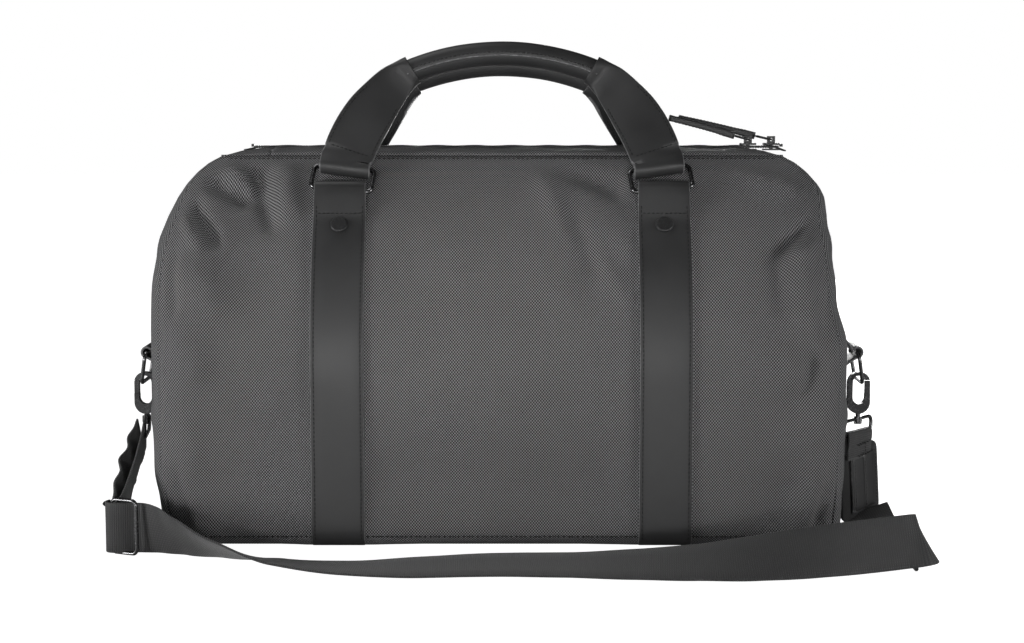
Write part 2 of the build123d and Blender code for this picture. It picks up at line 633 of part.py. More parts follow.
def pad_end():
    """Shoulder pad's end, its stitched leather tab and the webbing loop on the right hook."""
    place = Pos(HOOK_X + 3.5, TAB_Y - 3.0, 0) * Rot(0, 0, LOOP_YAW_RIGHT)
    pad = extrude(Plane.XZ * (Pos(3, 33) * RectangleRounded(52, 61, 9)), amount=3, both=True)
    tab = extrude(Plane.XZ * (Pos(3, 34) * RectangleRounded(34, 46, 1.5)), amount=1.2, both=True)
    web = extrude(Plane.XZ * (Pos(0, 65.0) * Rectangle(LOOP_INNER - 3, 16)), amount=1.6, both=True)
    place_pad = place * Pos(0, 5.0, 0)
    save("shoulder_pad", place_pad * pad)
    save("pad_leather_tab", place_pad * Pos(0, -4.4, 0) * tab)
    fold = Pos(HOOK_X, TAB_Y, HOOK_LOOP_BAR_Z) * Rot(0, 0, LOOP_YAW_RIGHT) * Rot(0, 90, 0)
    width = LOOP_INNER - 3
    web = place_pad * Pos(0, -4.7, 0) * web + fold * Cylinder(3.4, width)
    save("pad_webbing_end", web - fold * Cylinder(LOOP_WIRE_R + 0.1, width + 9))


def shoulder_strap():
    """All flat webbing and the hardware on it."""
    save("webbing_return", ribbon(LEFT_LAYER, LEFT_LAYER_TILTS))
    save("shoulder_webbing", ribbon(FRONT_RUN, FRONT_RUN_TILTS))
    save("pad_strap", ribbon(PAD_RUN, PAD_RUN_TILTS))
    save("strap_slider", webbing_slider())
    save("strap_ring", strap_ring())
    pad_end()


bag_shell()
lining_and_board()
zip_track()
zip_slider("a", SLIDER_A_X, -1, 15.0, 66.0)
zip_slider("b", SLIDER_B_X, 1, 13.0, 75.0)
leather_straps()
handles()
side_hardware()
shoulder_strap()
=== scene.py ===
"""Looks of the weekender bag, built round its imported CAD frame. Metres throughout."""
import json
import math

import bmesh
import bpy
from mathutils import Matrix, Vector


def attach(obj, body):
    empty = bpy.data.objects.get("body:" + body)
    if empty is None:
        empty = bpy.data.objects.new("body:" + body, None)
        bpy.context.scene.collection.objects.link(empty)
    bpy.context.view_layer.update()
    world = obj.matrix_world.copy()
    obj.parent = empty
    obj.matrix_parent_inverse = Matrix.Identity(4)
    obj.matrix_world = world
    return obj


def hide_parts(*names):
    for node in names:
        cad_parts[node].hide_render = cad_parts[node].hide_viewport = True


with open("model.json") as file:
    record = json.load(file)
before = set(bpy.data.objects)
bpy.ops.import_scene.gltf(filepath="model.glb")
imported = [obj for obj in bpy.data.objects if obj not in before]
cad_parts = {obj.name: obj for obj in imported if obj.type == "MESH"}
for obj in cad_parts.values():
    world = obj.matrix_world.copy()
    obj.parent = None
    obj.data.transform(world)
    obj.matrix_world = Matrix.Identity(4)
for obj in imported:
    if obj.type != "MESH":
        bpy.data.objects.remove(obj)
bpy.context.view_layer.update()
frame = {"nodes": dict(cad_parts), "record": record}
MM = 0.001

# Bag outline, the same driving sizes as the CAD model, in millimetres
HALF_DEPTH = 118.0
ARC_R = 205.0
ARC_Z = 130.0
BASE_R = 15.0
HALF_WIDTH = 260.0
END_R = 18.0
TOP_Z = 300.0
OUTLINE = [(190.0, 260.0), (214.0, 259.4), (232.0, 258.0), (248.0, 254.6), (262.0, 249.6), (272.0, 244.0),
           (281.0, 236.4), (288.0, 228.4), (293.245, 219.0), (297.0, 207.0), (300.0, 182.0)]
CROWN_HALF = 32.0
CROWN_Z = 297.0
MOUTH_HALF = 37.0
MOUTH_LEFT = -180.0
MOUTH_RIGHT = 125.0
TAPE_HALF = 9.0
STRAP_X = 123.0
STRAP_HALF = 20.0
CHAPE_Y = -73.56
CHAPE_Z = 268.6
RING_TOP_X = 120.44
RING_TOP_Y = -60.0
RING_TOP_Z = 284.63
SEAM_Z = 293.245
WEBBING = 38.0
WEBBING_THICK = 1.7
STITCH_LENGTH = 2.5
STITCH_PITCH = 3.4


# ---------------------------------------------------------------- node helpers

class Nodes:
    """Small wrapper that builds one material's node tree."""

    def __init__(self, name):
        self.material = bpy.data.materials.new(name)
        self.material.use_nodes = True
        self.tree = self.material.node_tree
        self.tree.nodes.clear()
        self.out = self.tree.nodes.new("ShaderNodeOutputMaterial")
        self.bsdf = self.tree.nodes.new("ShaderNodeBsdfPrincipled")
        self.link(self.bsdf.outputs[0], self.out.inputs[0])

    def link(self, source, target):
        self.tree.links.new(source, target)

    def value(self, target, source):
        """Feeds a socket from a number, a colour or another socket."""
        if isinstance(source, bpy.types.NodeSocket):
            self.link(source, target)
        else:
            target.default_value = source

    def math(self, kind, first, second=0.0):
        node = self.tree.nodes.new("ShaderNodeMath")
        node.operation = kind
        self.value(node.inputs[0], first)
        self.value(node.inputs[1], second)
        return node.outputs[0]

    def ramp(self, source, low, high, out_low=0.0, out_high=1.0):
        node = self.tree.nodes.new("ShaderNodeMapRange")
        self.value(node.inputs["Value"], source)
        node.inputs["From Min"].default_value = low
        node.inputs["From Max"].default_value = high
        node.inputs["To Min"].default_value = out_low
        node.inputs["To Max"].default_value = out_high
        return node.outputs[0]

    def mix(self, share, first, second):
        node = self.tree.nodes.new("ShaderNodeMix")
        node.data_type = "RGBA"
        self.value(node.inputs[0], share)
        self.value(node.inputs[6], first)
        self.value(node.inputs[7], second)
        return node.outputs[2]

    def coordinates(self, kind="Object"):
        return self.tree.nodes.new("ShaderNodeTexCoord").outputs[kind]

    def axes(self, vector):
        node = self.tree.nodes.new("ShaderNodeSeparateXYZ")
        self.link(vector, node.inputs[0])
        return node.outputs

    def noise(self, scale, detail=3.0, rough=0.55, stretch=None):
        node = self.tree.nodes.new("ShaderNodeTexNoise")
        node.inputs["Scale"].default_value = scale
        node.inputs["Detail"].default_value = detail
        node.inputs["Roughness"].default_value = rough
        source = self.coordinates()
        if stretch is not None:
            mapping = self.tree.nodes.new("ShaderNodeMapping")
            mapping.inputs["Scale"].default_value = stretch
            self.link(source, mapping.inputs[0])
            source = mapping.outputs[0]
        self.link(source, node.inputs["Vector"])
        return node.outputs["Fac"]

    def bump(self, height, distance, strength=1.0):
        node = self.tree.nodes.new("ShaderNodeBump")
        node.inputs["Strength"].default_value = strength
        node.inputs["Distance"].default_value = distance
        self.link(height, node.inputs["Height"])
        self.link(node.outputs[0], self.bsdf.inputs["Normal"])

    def wave(self, coordinate, pitch):
        """Cosine of a coordinate with the given pitch, from -1 to 1."""
        turns = self.math("MULTIPLY", coordinate, 2 * math.pi / pitch)
        return self.math("COSINE", turns)


def grey(level):
    return (level, level, level * 1.02, 1.0)


def ballistic_nylon():
    """Two-tone ballistic weave: light dots in a brick pattern on a dark ground."""
    n = Nodes("ballistic_nylon")
    u, v, _ = n.axes(n.coordinates("UV"))
    warp = n.noise(60.0, 2.0)
    u = n.math("ADD", u, n.math("MULTIPLY", warp, 0.5 * MM))
    dots = n.math("MULTIPLY", n.wave(u, 2.1 * MM), n.wave(v, 2.5 * MM))
    dots = n.ramp(dots, -0.2, 0.55)
    threads = n.math("MULTIPLY", n.wave(u, 0.5 * MM), 0.12)
    yarn = n.noise(2600.0, 2.0)
    light = n.math("ADD", dots, n.math("MULTIPLY", n.math("SUBTRACT", yarn, 0.5), 0.5))
    patch = n.noise(7.0, 3.0)
    tone = n.mix(light, grey(0.004), grey(0.36))
    tone = n.mix(n.ramp(patch, 0.35, 0.7, 0.0, 0.2), tone, grey(0.06))
    n.value(n.bsdf.inputs["Base Color"], tone)
    n.value(n.bsdf.inputs["Roughness"], n.ramp(dots, 0.0, 1.0, 0.72, 0.5))
    n.bsdf.inputs["Sheen Weight"].default_value = 0.04
    n.bsdf.inputs["Sheen Roughness"].default_value = 0.5
    n.bsdf.inputs["Specular IOR Level"].default_value = 0.2
    n.bump(n.math("ADD", dots, threads), 0.25 * MM, 0.8)
    return n.material


def leather(name="leather", level=0.029):
    """Smooth dark leather: fine grain, faint pull-up marks and a satin coat."""
    n = Nodes(name)
    grain = n.noise(1500.0, 4.0, 0.6)
    cloud = n.noise(18.0, 3.0)
    creases = n.noise(260.0, 2.0, 0.6, stretch=(1.0, 1.0, 0.35))
    tone = n.mix(n.ramp(cloud, 0.3, 0.7), grey(level * 0.75), grey(level * 1.25))
    tone = n.mix(n.ramp(grain, 0.55, 0.75, 0.0, 0.35), tone, grey(level * 1.9))
    n.value(n.bsdf.inputs["Base Color"], tone)
    n.value(n.bsdf.inputs["Roughness"], n.ramp(cloud, 0.3, 0.7, 0.48, 0.62))
    n.bsdf.inputs["Specular IOR Level"].default_value = 0.5
    n.bsdf.inputs["Coat Weight"].default_value = 0.06
    n.bsdf.inputs["Coat Roughness"].default_value = 0.35
    height = n.math("ADD", n.math("MULTIPLY", grain, 0.35), n.math("MULTIPLY", creases, 0.65))
    n.bump(height, 0.12 * MM, 0.7)
    return n.material


def edge_paint():
    """Painted, lightly rubbed edge of the leather."""
    n = Nodes("edge_paint")
    wear = n.noise(300.0, 3.0)
    n.value(n.bsdf.inputs["Base Color"], n.mix(n.ramp(wear, 0.4, 0.7), grey(0.10), grey(0.22)))
    n.bsdf.inputs["Roughness"].default_value = 0.45
    n.bump(wear, 0.05 * MM)
    return n.material


def thread(name="thread", level=0.006):
    """Waxed stitching thread with its twist."""
    n = Nodes(name)
    x, y, z = n.axes(n.coordinates())
    twist = n.wave(n.math("ADD", n.math("ADD", x, y), z), 0.7 * MM)
    n.value(n.bsdf.inputs["Base Color"], n.mix(n.ramp(twist, -1, 1), grey(level * 0.6), grey(level * 1.6)))
    n.bsdf.inputs["Roughness"].default_value = 0.6
    n.bump(twist, 0.1 * MM, 0.6)
    return n.material


def webbing_cloth(name="webbing", level=0.03, rib=1.6):
    """Ribbed nylon webbing: fine cross ribs, broken into rows along the length."""
    n = Nodes(name)
    u, v, _ = n.axes(n.coordinates("UV"))
    ribs = n.wave(u, rib * MM)
    rows = n.wave(v, 1.9 * MM)
    weave = n.math("MULTIPLY", ribs, n.math("ADD", n.math("MULTIPLY", rows, 0.5), 0.6))
    fuzz = n.noise(2400.0, 2.0)
    tone = n.mix(n.ramp(weave, -1.0, 1.0), grey(level * 0.55), grey(level * 1.45))
    tone = n.mix(n.ramp(fuzz, 0.45, 0.75, 0.0, 0.4), tone, grey(level * 1.8))
    n.value(n.bsdf.inputs["Base Color"], tone)
    n.bsdf.inputs["Roughness"].default_value = 0.55
    n.bsdf.inputs["Sheen Weight"].default_value = 0.3
    n.bsdf.inputs["Specular IOR Level"].default_value = 0.45
    n.bump(n.math("ADD", weave, n.math("MULTIPLY", fuzz, 0.4)), 0.18 * MM, 0.8)
    return n.material


def gunmetal():
    """Polished gunmetal plating with faint handling marks."""
    n = Nodes("gunmetal")
    marks = n.noise(420.0, 4.0, 0.65)
    broad = n.noise(40.0, 2.0)
    n.value(n.bsdf.inputs["Base Color"], n.mix(n.ramp(broad, 0.3, 0.7), grey(0.14), grey(0.22)))
    n.value(n.bsdf.inputs["Roughness"], n.ramp(marks, 0.35, 0.7, 0.22, 0.3))
    n.bsdf.inputs["Metallic"].default_value = 1.0
    n.bump(broad, 0.01 * MM, 0.3)
    return n.material


def black_plating():
    """Satin black plating of the zip's sliders and links."""
    n = Nodes("black_plating")
    wear = n.noise(500.0, 4.0, 0.6)
    n.value(n.bsdf.inputs["Base Color"], n.mix(n.ramp(wear, 0.5, 0.8), grey(0.03), grey(0.07)))
    n.value(n.bsdf.inputs["Roughness"], n.ramp(wear, 0.3, 0.7, 0.36, 0.48))
    n.bsdf.inputs["Metallic"].default_value = 0.5
    n.bump(wear, 0.02 * MM, 0.4)
    return n.material


def rivet_paint():
    """Matt dark enamel on the rivets' caps, worn thin at random."""
    n = Nodes("rivet_paint")
    wear = n.noise(700.0, 4.0, 0.6)
    n.value(n.bsdf.inputs["Base Color"], n.mix(n.ramp(wear, 0.5, 0.75), grey(0.03), grey(0.06)))
    n.value(n.bsdf.inputs["Roughness"], n.ramp(wear, 0.3, 0.7, 0.38, 0.5))
    n.bsdf.inputs["Metallic"].default_value = 0.3
    n.bump(wear, 0.03 * MM, 0.5)
    return n.material


def plain_cloth(name, level, pitch=0.8):
    """Plain weave for the lining, the zip's tape, the pad and the grips' rope core."""
    n = Nodes(name)
    x, y, z = n.axes(n.coordinates())
    across = n.math("ADD", x, n.math("MULTIPLY", y, 0.6))
    weave = n.math("MULTIPLY", n.wave(across, pitch * MM), n.wave(n.math("ADD", z, y), pitch * MM))
    fuzz = n.noise(900.0, 3.0)
    tone = n.mix(n.ramp(weave, -1, 1), grey(level * 0.6), grey(level * 1.4))
    tone = n.mix(n.ramp(fuzz, 0.45, 0.7, 0.0, 0.4), tone, grey(level * 1.7))
    n.value(n.bsdf.inputs["Base Color"], tone)
    n.bsdf.inputs["Roughness"].default_value = 0.8
    n.bsdf.inputs["Sheen Weight"].default_value = 0.2
    n.bump(weave, 0.12 * MM, 0.7)
    return n.material


def moulded(name, level, rough):
    """Moulded plastic with a fine spark texture."""
    n = Nodes(name)
    fine = n.noise(1800.0, 3.0)
    n.value(n.bsdf.inputs["Base Color"], n.mix(fine, grey(level * 0.8), grey(level * 1.3)))
    n.value(n.bsdf.inputs["Roughness"], n.ramp(fine, 0.3, 0.7, rough - 0.06, rough + 0.08))
    n.bump(fine, 0.03 * MM)
    return n.material


MATERIALS = {
    "ballistic_nylon": ballistic_nylon(),
    "leather": leather(),
    "pull_leather": leather("pull_leather", 0.011),
    "rivet": rivet_paint(),
    "black_plating": black_plating(),
    "edge": edge_paint(),
    "thread": thread(),
    "webbing": webbing_cloth(),
    "gunmetal": gunmetal(),
    "lining_cloth": plain_cloth("lining_cloth", 0.05),
    "zip_tape": plain_cloth("zip_tape", 0.02, 0.7),
    "pad_cloth": plain_cloth("pad_cloth", 0.012, 1.4),
    "zip_coil": moulded("zip_coil", 0.16, 0.35),
    "base_board": moulded("base_board", 0.03, 0.6),
    "rope_core": plain_cloth("rope_core", 0.2, 1.6),
}


# ---------------------------------------------------------------- mesh helpers

def new_object(name, mesh, material_names, body, nodes=()):
    """Links a mesh to the scene, gives it its materials, its body and the nodes it stands for."""
    piece = bpy.data.objects.new(name, mesh)
    bpy.context.scene.collection.objects.link(piece)
    for key in material_names:
        mesh.materials.append(MATERIALS[key])
    for polygon in mesh.polygons:
        polygon.use_smooth = True
    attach(piece, body)
    if nodes:
        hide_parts(*nodes)
    return piece


def closed_off(work, name):
    """Mesh of a finished bmesh, which is freed."""
    mesh = bpy.data.meshes.new(name)
    work.to_mesh(mesh)
    work.free()
    return mesh


def bridge(work, rings):
    """Faces between each ring of points and the next."""
    count = len(rings[0])
    for a, b in zip(rings, rings[1:]):
        for corner in range(count):
            nxt = (corner + 1) % count
            work.faces.new((a[corner], a[nxt], b[nxt], b[corner]))


def grid_mesh(name, rows, uvs, closed=False):
    """Mesh over a grid of points in metres, rows[i][j], with UVs of the same layout."""
    work = bmesh.new()
    verts = [[work.verts.new(point) for point in row] for row in rows]
    layer = work.loops.layers.uv.new("UVMap")
    count = len(rows[0])
    for i in range(len(rows) - 1):
        for j in range(count if closed else count - 1):
            j2 = (j + 1) % count
            corners = ((i, j), (i, j2), (i + 1, j2), (i + 1, j))
            face = work.faces.new([verts[a][b] for a, b in corners])
            for loop, (a, b) in zip(face.loops, corners):
                loop[layer].uv = uvs[a][b]
    return closed_off(work, name)


def merged(name, meshes):
    """One mesh from several, with their material numbers kept."""
    work = bmesh.new()
    work.loops.layers.uv.new("UVMap")
    for mesh in meshes:
        work.from_mesh(mesh)
        bpy.data.meshes.remove(mesh)
    return closed_off(work, name)


def thicken(piece, thickness, rim=None):
    """Gives a sheet its thickness."""
    solidify = piece.modifiers.new("thickness", "SOLIDIFY")
    solidify.thickness = thickness
    solidify.offset = -1.0
    if rim is not None:
        solidify.material_offset_rim = rim


def smooth_steps(value, low, high):
    """0 below low, 1 above high, with a smooth rise between."""
    share = min(1.0, max(0.0, (value - low) / (high - low)))
    return share * share * (3 - 2 * share)


def running_lengths(points):
    """Distance along a path at each of its points."""
    lengths = [0.0]
    for a, b in zip(points, points[1:]):
        lengths.append(lengths[-1] + (Vector(b) - Vector(a)).length)
    return lengths


def stitch_mesh(name, points, normals, pitch=STITCH_PITCH, length=STITCH_LENGTH, radius=0.5, lift=0.12):
    """Row of separate stitches along a path in millimetres; each dips into the surface at both ends."""
    work = bmesh.new()
    sides = 6
    lengths = running_lengths(points)

    def at(distance):
        for index in range(len(points) - 1):
            if distance <= lengths[index + 1] or index == len(points) - 2:
                span = max(lengths[index + 1] - lengths[index], 1e-9)
                part = (distance - lengths[index]) / span
                place = Vector(points[index]).lerp(Vector(points[index + 1]), part)
                up = Vector(normals[index]).lerp(Vector(normals[index + 1]), part).normalized()
                return place, up

    count = int(lengths[-1] / pitch)
    margin = (lengths[-1] - (count - 1) * pitch - length) / 2
    for k in range(count):
        start = margin + k * pitch
        rings = []
        for step in range(6):
            share = step / 5
            place, up = at(start + share * length)
            ahead, _ = at(start + share * length + 0.05)
            along = (ahead - place).normalized()
            side = along.cross(up).normalized()
            height = lift - 0.42 * (2 * share - 1) ** 4
            centre = place + up * height
            size = radius * (1 - 0.35 * abs(2 * share - 1) ** 3)
            ring = []
            for corner in range(sides):
                angle = 2 * math.pi * corner / sides
                offset = side * math.cos(angle) * size + up * math.sin(angle) * size * 0.75
                ring.append(work.verts.new((centre + offset) * MM))
            rings.append(ring)
        bridge(work, rings)
        work.faces.new(rings[0][::-1])
        work.faces.new(rings[-1])
    work.normal_update()
    return closed_off(work, name)


# ---------------------------------------------------------------- bag outline

def wall_depth(z):
    """Half depth of the bag at a height."""
    if z < BASE_R:
        return HALF_DEPTH - BASE_R + math.sqrt(max(0.0, BASE_R ** 2 - (BASE_R - z) ** 2))
    if z <= ARC_Z:
        return HALF_DEPTH
    return -(ARC_R - HALF_DEPTH) + math.sqrt(max(0.0, ARC_R ** 2 - (z - ARC_Z) ** 2))


def wall_width(z):
    """Half width of the bag at a height."""
    if z < END_R:
        return HALF_WIDTH - END_R + math.sqrt(max(0.0, END_R ** 2 - (END_R - z) ** 2))
    if z <= OUTLINE[0][0]:
        return HALF_WIDTH
    for (low, wide), (high, narrow) in zip(OUTLINE, OUTLINE[1:]):
        if z <= high:
            return wide + (narrow - wide) * (z - low) / (high - low)
    return OUTLINE[-1][1]


def heights():
    """Heights of the shell's rows from the floor to the mouth seam, evenly spaced along the wall."""
    rows = [BASE_R * (1 - math.cos(math.radians(angle))) for angle in range(0, 90, 15)]
    z = BASE_R
    while z < ARC_Z:
        rows.append(z)
        z += 3.6
    last = math.degrees(math.asin((SEAM_Z - ARC_Z) / ARC_R))
    steps = 62
    for step in range(steps + 1):
        angle = math.radians(last * step / steps)
        rows.append(ARC_Z + ARC_R * math.sin(angle))
    return rows


def ridge(x, z, start, end, width, height):
    """Soft fold from start to end on a panel, in millimetres; negative height is a crease."""
    ax, az = start
    bx, bz = end
    dx, dz = bx - ax, bz - az
    length = math.hypot(dx, dz)
    along = ((x - ax) * dx + (z - az) * dz) / length
    across = ((x - ax) * -dz + (z - az) * dx) / length
    share = along / length
    if share < -0.3 or share > 1.3:
        return 0.0
    fade = smooth_steps(share, -0.3, 0.15) * (1 - smooth_steps(share, 0.85, 1.3))
    return height * fade * math.exp(-(across / width) ** 2)


FRONT_FOLDS = [
    # top left: pleats hanging from the mouth's corner
    ((-192, 284), (-172, 242), 9.0, -4.2), ((-166, 288), (-166, 246), 11.0, 2.4),
    ((-226, 276), (-196, 262), 6.0, -3.4),
    ((-214, 286), (-190, 272), 6.0, 2.4), ((-206, 262), (-184, 236), 15.0, -1.6),
    ((-238, 262), (-216, 230), 5.0, -3.4),
    ((-248, 256), (-228, 226), 6.0, 2.6), ((-250, 224), (-246, 180), 6.0, -2.4),
    ((-232, 214), (-214, 176), 16.0, 2.6),
    ((-200, 220), (-170, 190), 20.0, -1.2),
    # beside the right strap
    ((30, 276), (56, 226), 9.0, 2.4), ((54, 284), (90, 270), 9.0, -2.6), ((48, 250), (70, 214), 10.0, -2.2),
    ((66, 246), (96, 228), 12.0, 1.4), ((70, 226), (92, 190), 7.0, 1.6), ((36, 206), (64, 170), 12.0, 1.0),
    # top right and down the right edge
    ((212, 226), (240, 250), 5.0, -3.6), ((222, 218), (244, 236), 7.0, 2.8),
    ((206, 222), (208, 180), 9.0, -2.0),
    ((222, 214), (232, 176), 12.0, 2.4), ((180, 280), (226, 268), 8.0, 1.6),
    ((236, 190), (244, 158), 5.0, -2.6),
    ((206, 150), (222, 122), 9.0, 2.0), ((232, 146), (224, 116), 6.0, -2.4),
    ((246, 122), (238, 84), 7.0, 1.8),
    ((208, 112), (218, 90), 10.0, -1.6), ((250, 44), (238, 6), 7.0, -3.6), ((236, 60), (224, 14), 9.0, 2.4),
    ((214, 56), (200, 20), 12.0, -1.4),
    # low left puff and soft waves across the middle
    ((-240, 26), (-216, 10), 8.0, 2.6), ((-250, 58), (-240, 20), 8.0, -2.4),
    ((-236, 96), (-230, 60), 10.0, 1.6),
    ((-240, 170), (-226, 130), 14.0, 2.0), ((-214, 140), (-180, 118), 16.0, -1.4),
    ((-60, 110), (60, 96), 30.0, 1.4),
    ((-80, 190), (20, 204), 26.0, -1.4), ((-96, 60), (96, 44), 22.0, -1.2),
    ((160, 190), (190, 150), 16.0, 1.0),
]
REAR_FOLDS = [
    ((-214, 250), (-180, 222), 6.0, -2.8), ((-222, 240), (-190, 210), 7.0, 2.2),
    ((204, 262), (176, 228), 6.0, -2.8),
    ((222, 238), (200, 206), 8.0, 2.2), ((60, 240), (92, 204), 9.0, -2.4),
    ((-70, 236), (-96, 200), 9.0, -2.0),
    ((-246, 60), (-230, 12), 9.0, -2.4), ((246, 70), (232, 16), 9.0, -2.4),
    ((-70, 120), (70, 104), 32.0, 1.6),
    ((180, 120), (230, 90), 20.0, 1.4), ((-230, 150), (-160, 120), 20.0, 1.4),
    ((-60, 60), (80, 40), 24.0, -1.2),
]
END_FOLDS = [
    ((-70, 210), (-20, 170), 9.0, -2.0), ((60, 230), (10, 180), 10.0, -2.2),
    ((-80, 100), (-30, 60), 14.0, 1.8),
    ((70, 90), (20, 50), 14.0, -1.6), ((-90, 40), (-60, 12), 8.0, -2.0), ((90, 44), (64, 12), 8.0, -2.0),
]


FOLD_GAIN = 2.3


def sag(across, z, folds, half):
    """How far the cloth stands off its outline: padding, folds and the pull of seams."""
    value = FOLD_GAIN * sum(ridge(across, z, *fold) for fold in folds)
    edge = smooth_steps(half - abs(across), 9.0, 26.0)
    low = smooth_steps(z, 2.0, 22.0)
    high = 1 - smooth_steps(z, 276.0, 292.0)
    return (value + 1.2 * math.sin(across * 0.013 + 0.6) * math.sin(z * 0.021)) * edge * low * high


def near_strap(x):
    """1 away from the two straps, falling to 0 under them."""
    gap = abs(abs(x) - STRAP_X) - STRAP_HALF
    return smooth_steps(gap, 0.0, 14.0)


def rounded(across, reach, other, radius):
    """Place along and out from the middle of one side of a rounded rectangle, and the direction it faces."""
    flat = reach - radius
    run = abs(across) * (flat + radius * math.pi / 4)
    turn = max(0.0, run - flat) / radius
    along = min(run, flat) + radius * math.sin(turn)
    out = other - radius + radius * math.cos(turn)
    return math.copysign(along, across), out, math.copysign(turn, across)


def shell_point(z, face, across):
    """Point of the cloth on the front, rear, left or right face, in millimetres."""
    depth = wall_depth(z)
    width = wall_width(z)
    radius = 7.0 + 23.0 * (1 - smooth_steps(z, 236, 291))
    radius = min(radius, depth * 0.9)
    to_right = face == "right" or (face != "left" and across > 0)
    if to_right:
        width += 2.0 * smooth_steps(z, 10, 50) * (1 - smooth_steps(z, 225, 275))
        width += -8.0 * smooth_steps(z, 150, 186) * (1 - smooth_steps(z, 236, 270))
    else:
        width += 6.0 * smooth_steps(z, 10, 60) * (1 - smooth_steps(z, 205, 275))
    lean = math.sqrt(max(0.0, 1 - ((max(z, ARC_Z) - ARC_Z) / ARC_R) ** 2))
    rise = math.sqrt(max(0.0, 1 - lean * lean))
    if face in ("front", "rear"):
        sign = -1 if face == "front" else 1
        x, y, turn = rounded(across, width, depth, radius)
        folds = FRONT_FOLDS if face == "front" else REAR_FOLDS
        if abs(x) < STRAP_X:
            bay = math.cos(min(1.0, abs(x) / (STRAP_X - STRAP_HALF)) * math.pi / 2)
        else:
            bay = math.sin(min(1.0, max(0.0, (abs(x) - STRAP_X - STRAP_HALF) / 120.0)) * math.pi)
        belly = bay * (4.5 * math.exp(-((z - 140) / 75) ** 2) - 5.0 * (1 - smooth_steps(z, 14, 80)))
        off = (sag(x, z, folds, width) + belly) * near_strap(x)
        outward = off * math.cos(turn)
        return Vector((x + off * math.sin(turn), sign * (y + outward * lean), z + outward * rise))
    y, x, turn = rounded(across, depth, width, radius)
    sign = 1 if face == "right" else -1
    off = sag(y, z, END_FOLDS, depth)
    off += 2.4 * math.cos(across * math.pi / 2) * smooth_steps(z, 4, 40) * (1 - smooth_steps(z, 236, 285))
    return Vector((sign * (x + off * math.cos(turn)), y + off * math.sin(turn), z))


def face_mesh(face, columns):
    """One face of the shell, with UVs that follow the cloth."""
    levels = heights()
    runs = running_lengths([shell_point(z, face, 0.0) for z in levels])
    rows = []
    uvs = []
    for z, run in zip(levels, runs):
        points = [shell_point(z, face, -1 + 2 * j / columns) for j in range(columns + 1)]
        if face in ("rear", "left"):
            points.reverse()
        reaches = [point.x if face in ("front", "rear") else point.y for point in points]
        rows.append([point * MM for point in points])
        uvs.append([(reach * MM, run * MM) for reach in reaches])
    return grid_mesh("cloth_" + face, rows, uvs)


def bag_cloth():
    """The four walls of the bag as sagging cloth."""
    for face, columns, node in (("front", 210, "front_panel"), ("rear", 210, "rear_panel"),
                                ("left", 84, "end_panel_left"), ("right", 84, "end_panel_right")):
        piece = new_object("cloth_" + face, face_mesh(face, columns), ["ballistic_nylon"], "bag",
                           (node,))
        thicken(piece, 1.4 * MM)


def crown(y):
    """Height of the nearly flat top at a distance from the zip line."""
    radius = (CROWN_HALF ** 2 + (TOP_Z - CROWN_Z) ** 2) / (2 * (TOP_Z - CROWN_Z))
    if abs(y) <= CROWN_HALF:
        return TOP_Z - radius + math.sqrt(radius ** 2 - y * y)
    return CROWN_Z - (abs(y) - CROWN_HALF) * (CROWN_Z - SEAM_Z) / (MOUTH_HALF - CROWN_HALF)


def top_height(x, y):
    """Top surface, falling to the seam at both shoulders."""
    fall = 1.0
    for (low, wide), (high, narrow) in zip(OUTLINE, OUTLINE[1:]):
        if narrow <= abs(x) <= wide and low >= SEAM_Z - 0.01:
            level = low + (high - low) * (wide - abs(x)) / (wide - narrow)
            fall = (level - SEAM_Z) / (TOP_Z - SEAM_Z)
    if abs(x) >= 219.0:
        fall = 0.0
    z = SEAM_Z + (crown(y) - SEAM_Z) * fall
    puff = 0.5 * math.sin(x * 0.11 + y * 0.05) * math.sin(x * 0.037 + 1.0)
    rolled = 0.9 * math.exp(-((abs(y) - MOUTH_HALF + 2.4) / 1.6) ** 2)
    z += (puff * smooth_steps(MOUTH_HALF - abs(y), 0, 8) + rolled) * fall
    return z


def top_sheet(name, x_low, x_high, y_low, y_high, body, nodes, channel=False):
    """Part of the top cloth between four lines."""
    rows = []
    uvs = []
    steps_y = max(6, int((y_high - y_low) / 1.6))
    steps_x = max(6, int((x_high - x_low) / 3.0))
    for i in range(steps_y + 1):
        y = y_low + (y_high - y_low) * i / steps_y
        row = []
        uv = []
        for j in range(steps_x + 1):
            x = x_low + (x_high - x_low) * j / steps_x
            z = top_height(x, y) + 0.9 * smooth_steps(abs(y), MOUTH_HALF - 3, MOUTH_HALF)
            if channel and abs(y) < TAPE_HALF + 0.5:
                z = min(z, 296.2)
            row.append(Vector((x, y, z)) * MM)
            uv.append((x * MM, y * MM))
        rows.append(row)
        uvs.append(uv)
    piece = new_object(name, grid_mesh(name, rows, uvs), ["ballistic_nylon"], body, nodes)
    thicken(piece, 1.6 * MM)
    return piece


def mouth_cloth():
    """Two flaps that open with the zip, and the fixed cloth beyond their ends."""
    left_end = MOUTH_LEFT - 0.3
    right_end = MOUTH_RIGHT + 0.3
    top_sheet("top_flap_front", MOUTH_LEFT, MOUTH_RIGHT, -MOUTH_HALF, -TAPE_HALF, "front_flap",
              ("front_placket",))
    top_sheet("top_flap_rear", MOUTH_LEFT, MOUTH_RIGHT, TAPE_HALF, MOUTH_HALF, "rear_flap",
              ("rear_placket",))
    top_sheet("top_left", -219.0, left_end, -MOUTH_HALF, MOUTH_HALF, "bag", ("mouth_gusset_left",), True)
    top_sheet("top_right", right_end, 219.0, -MOUTH_HALF, MOUTH_HALF, "bag", ("mouth_gusset_right",), True)


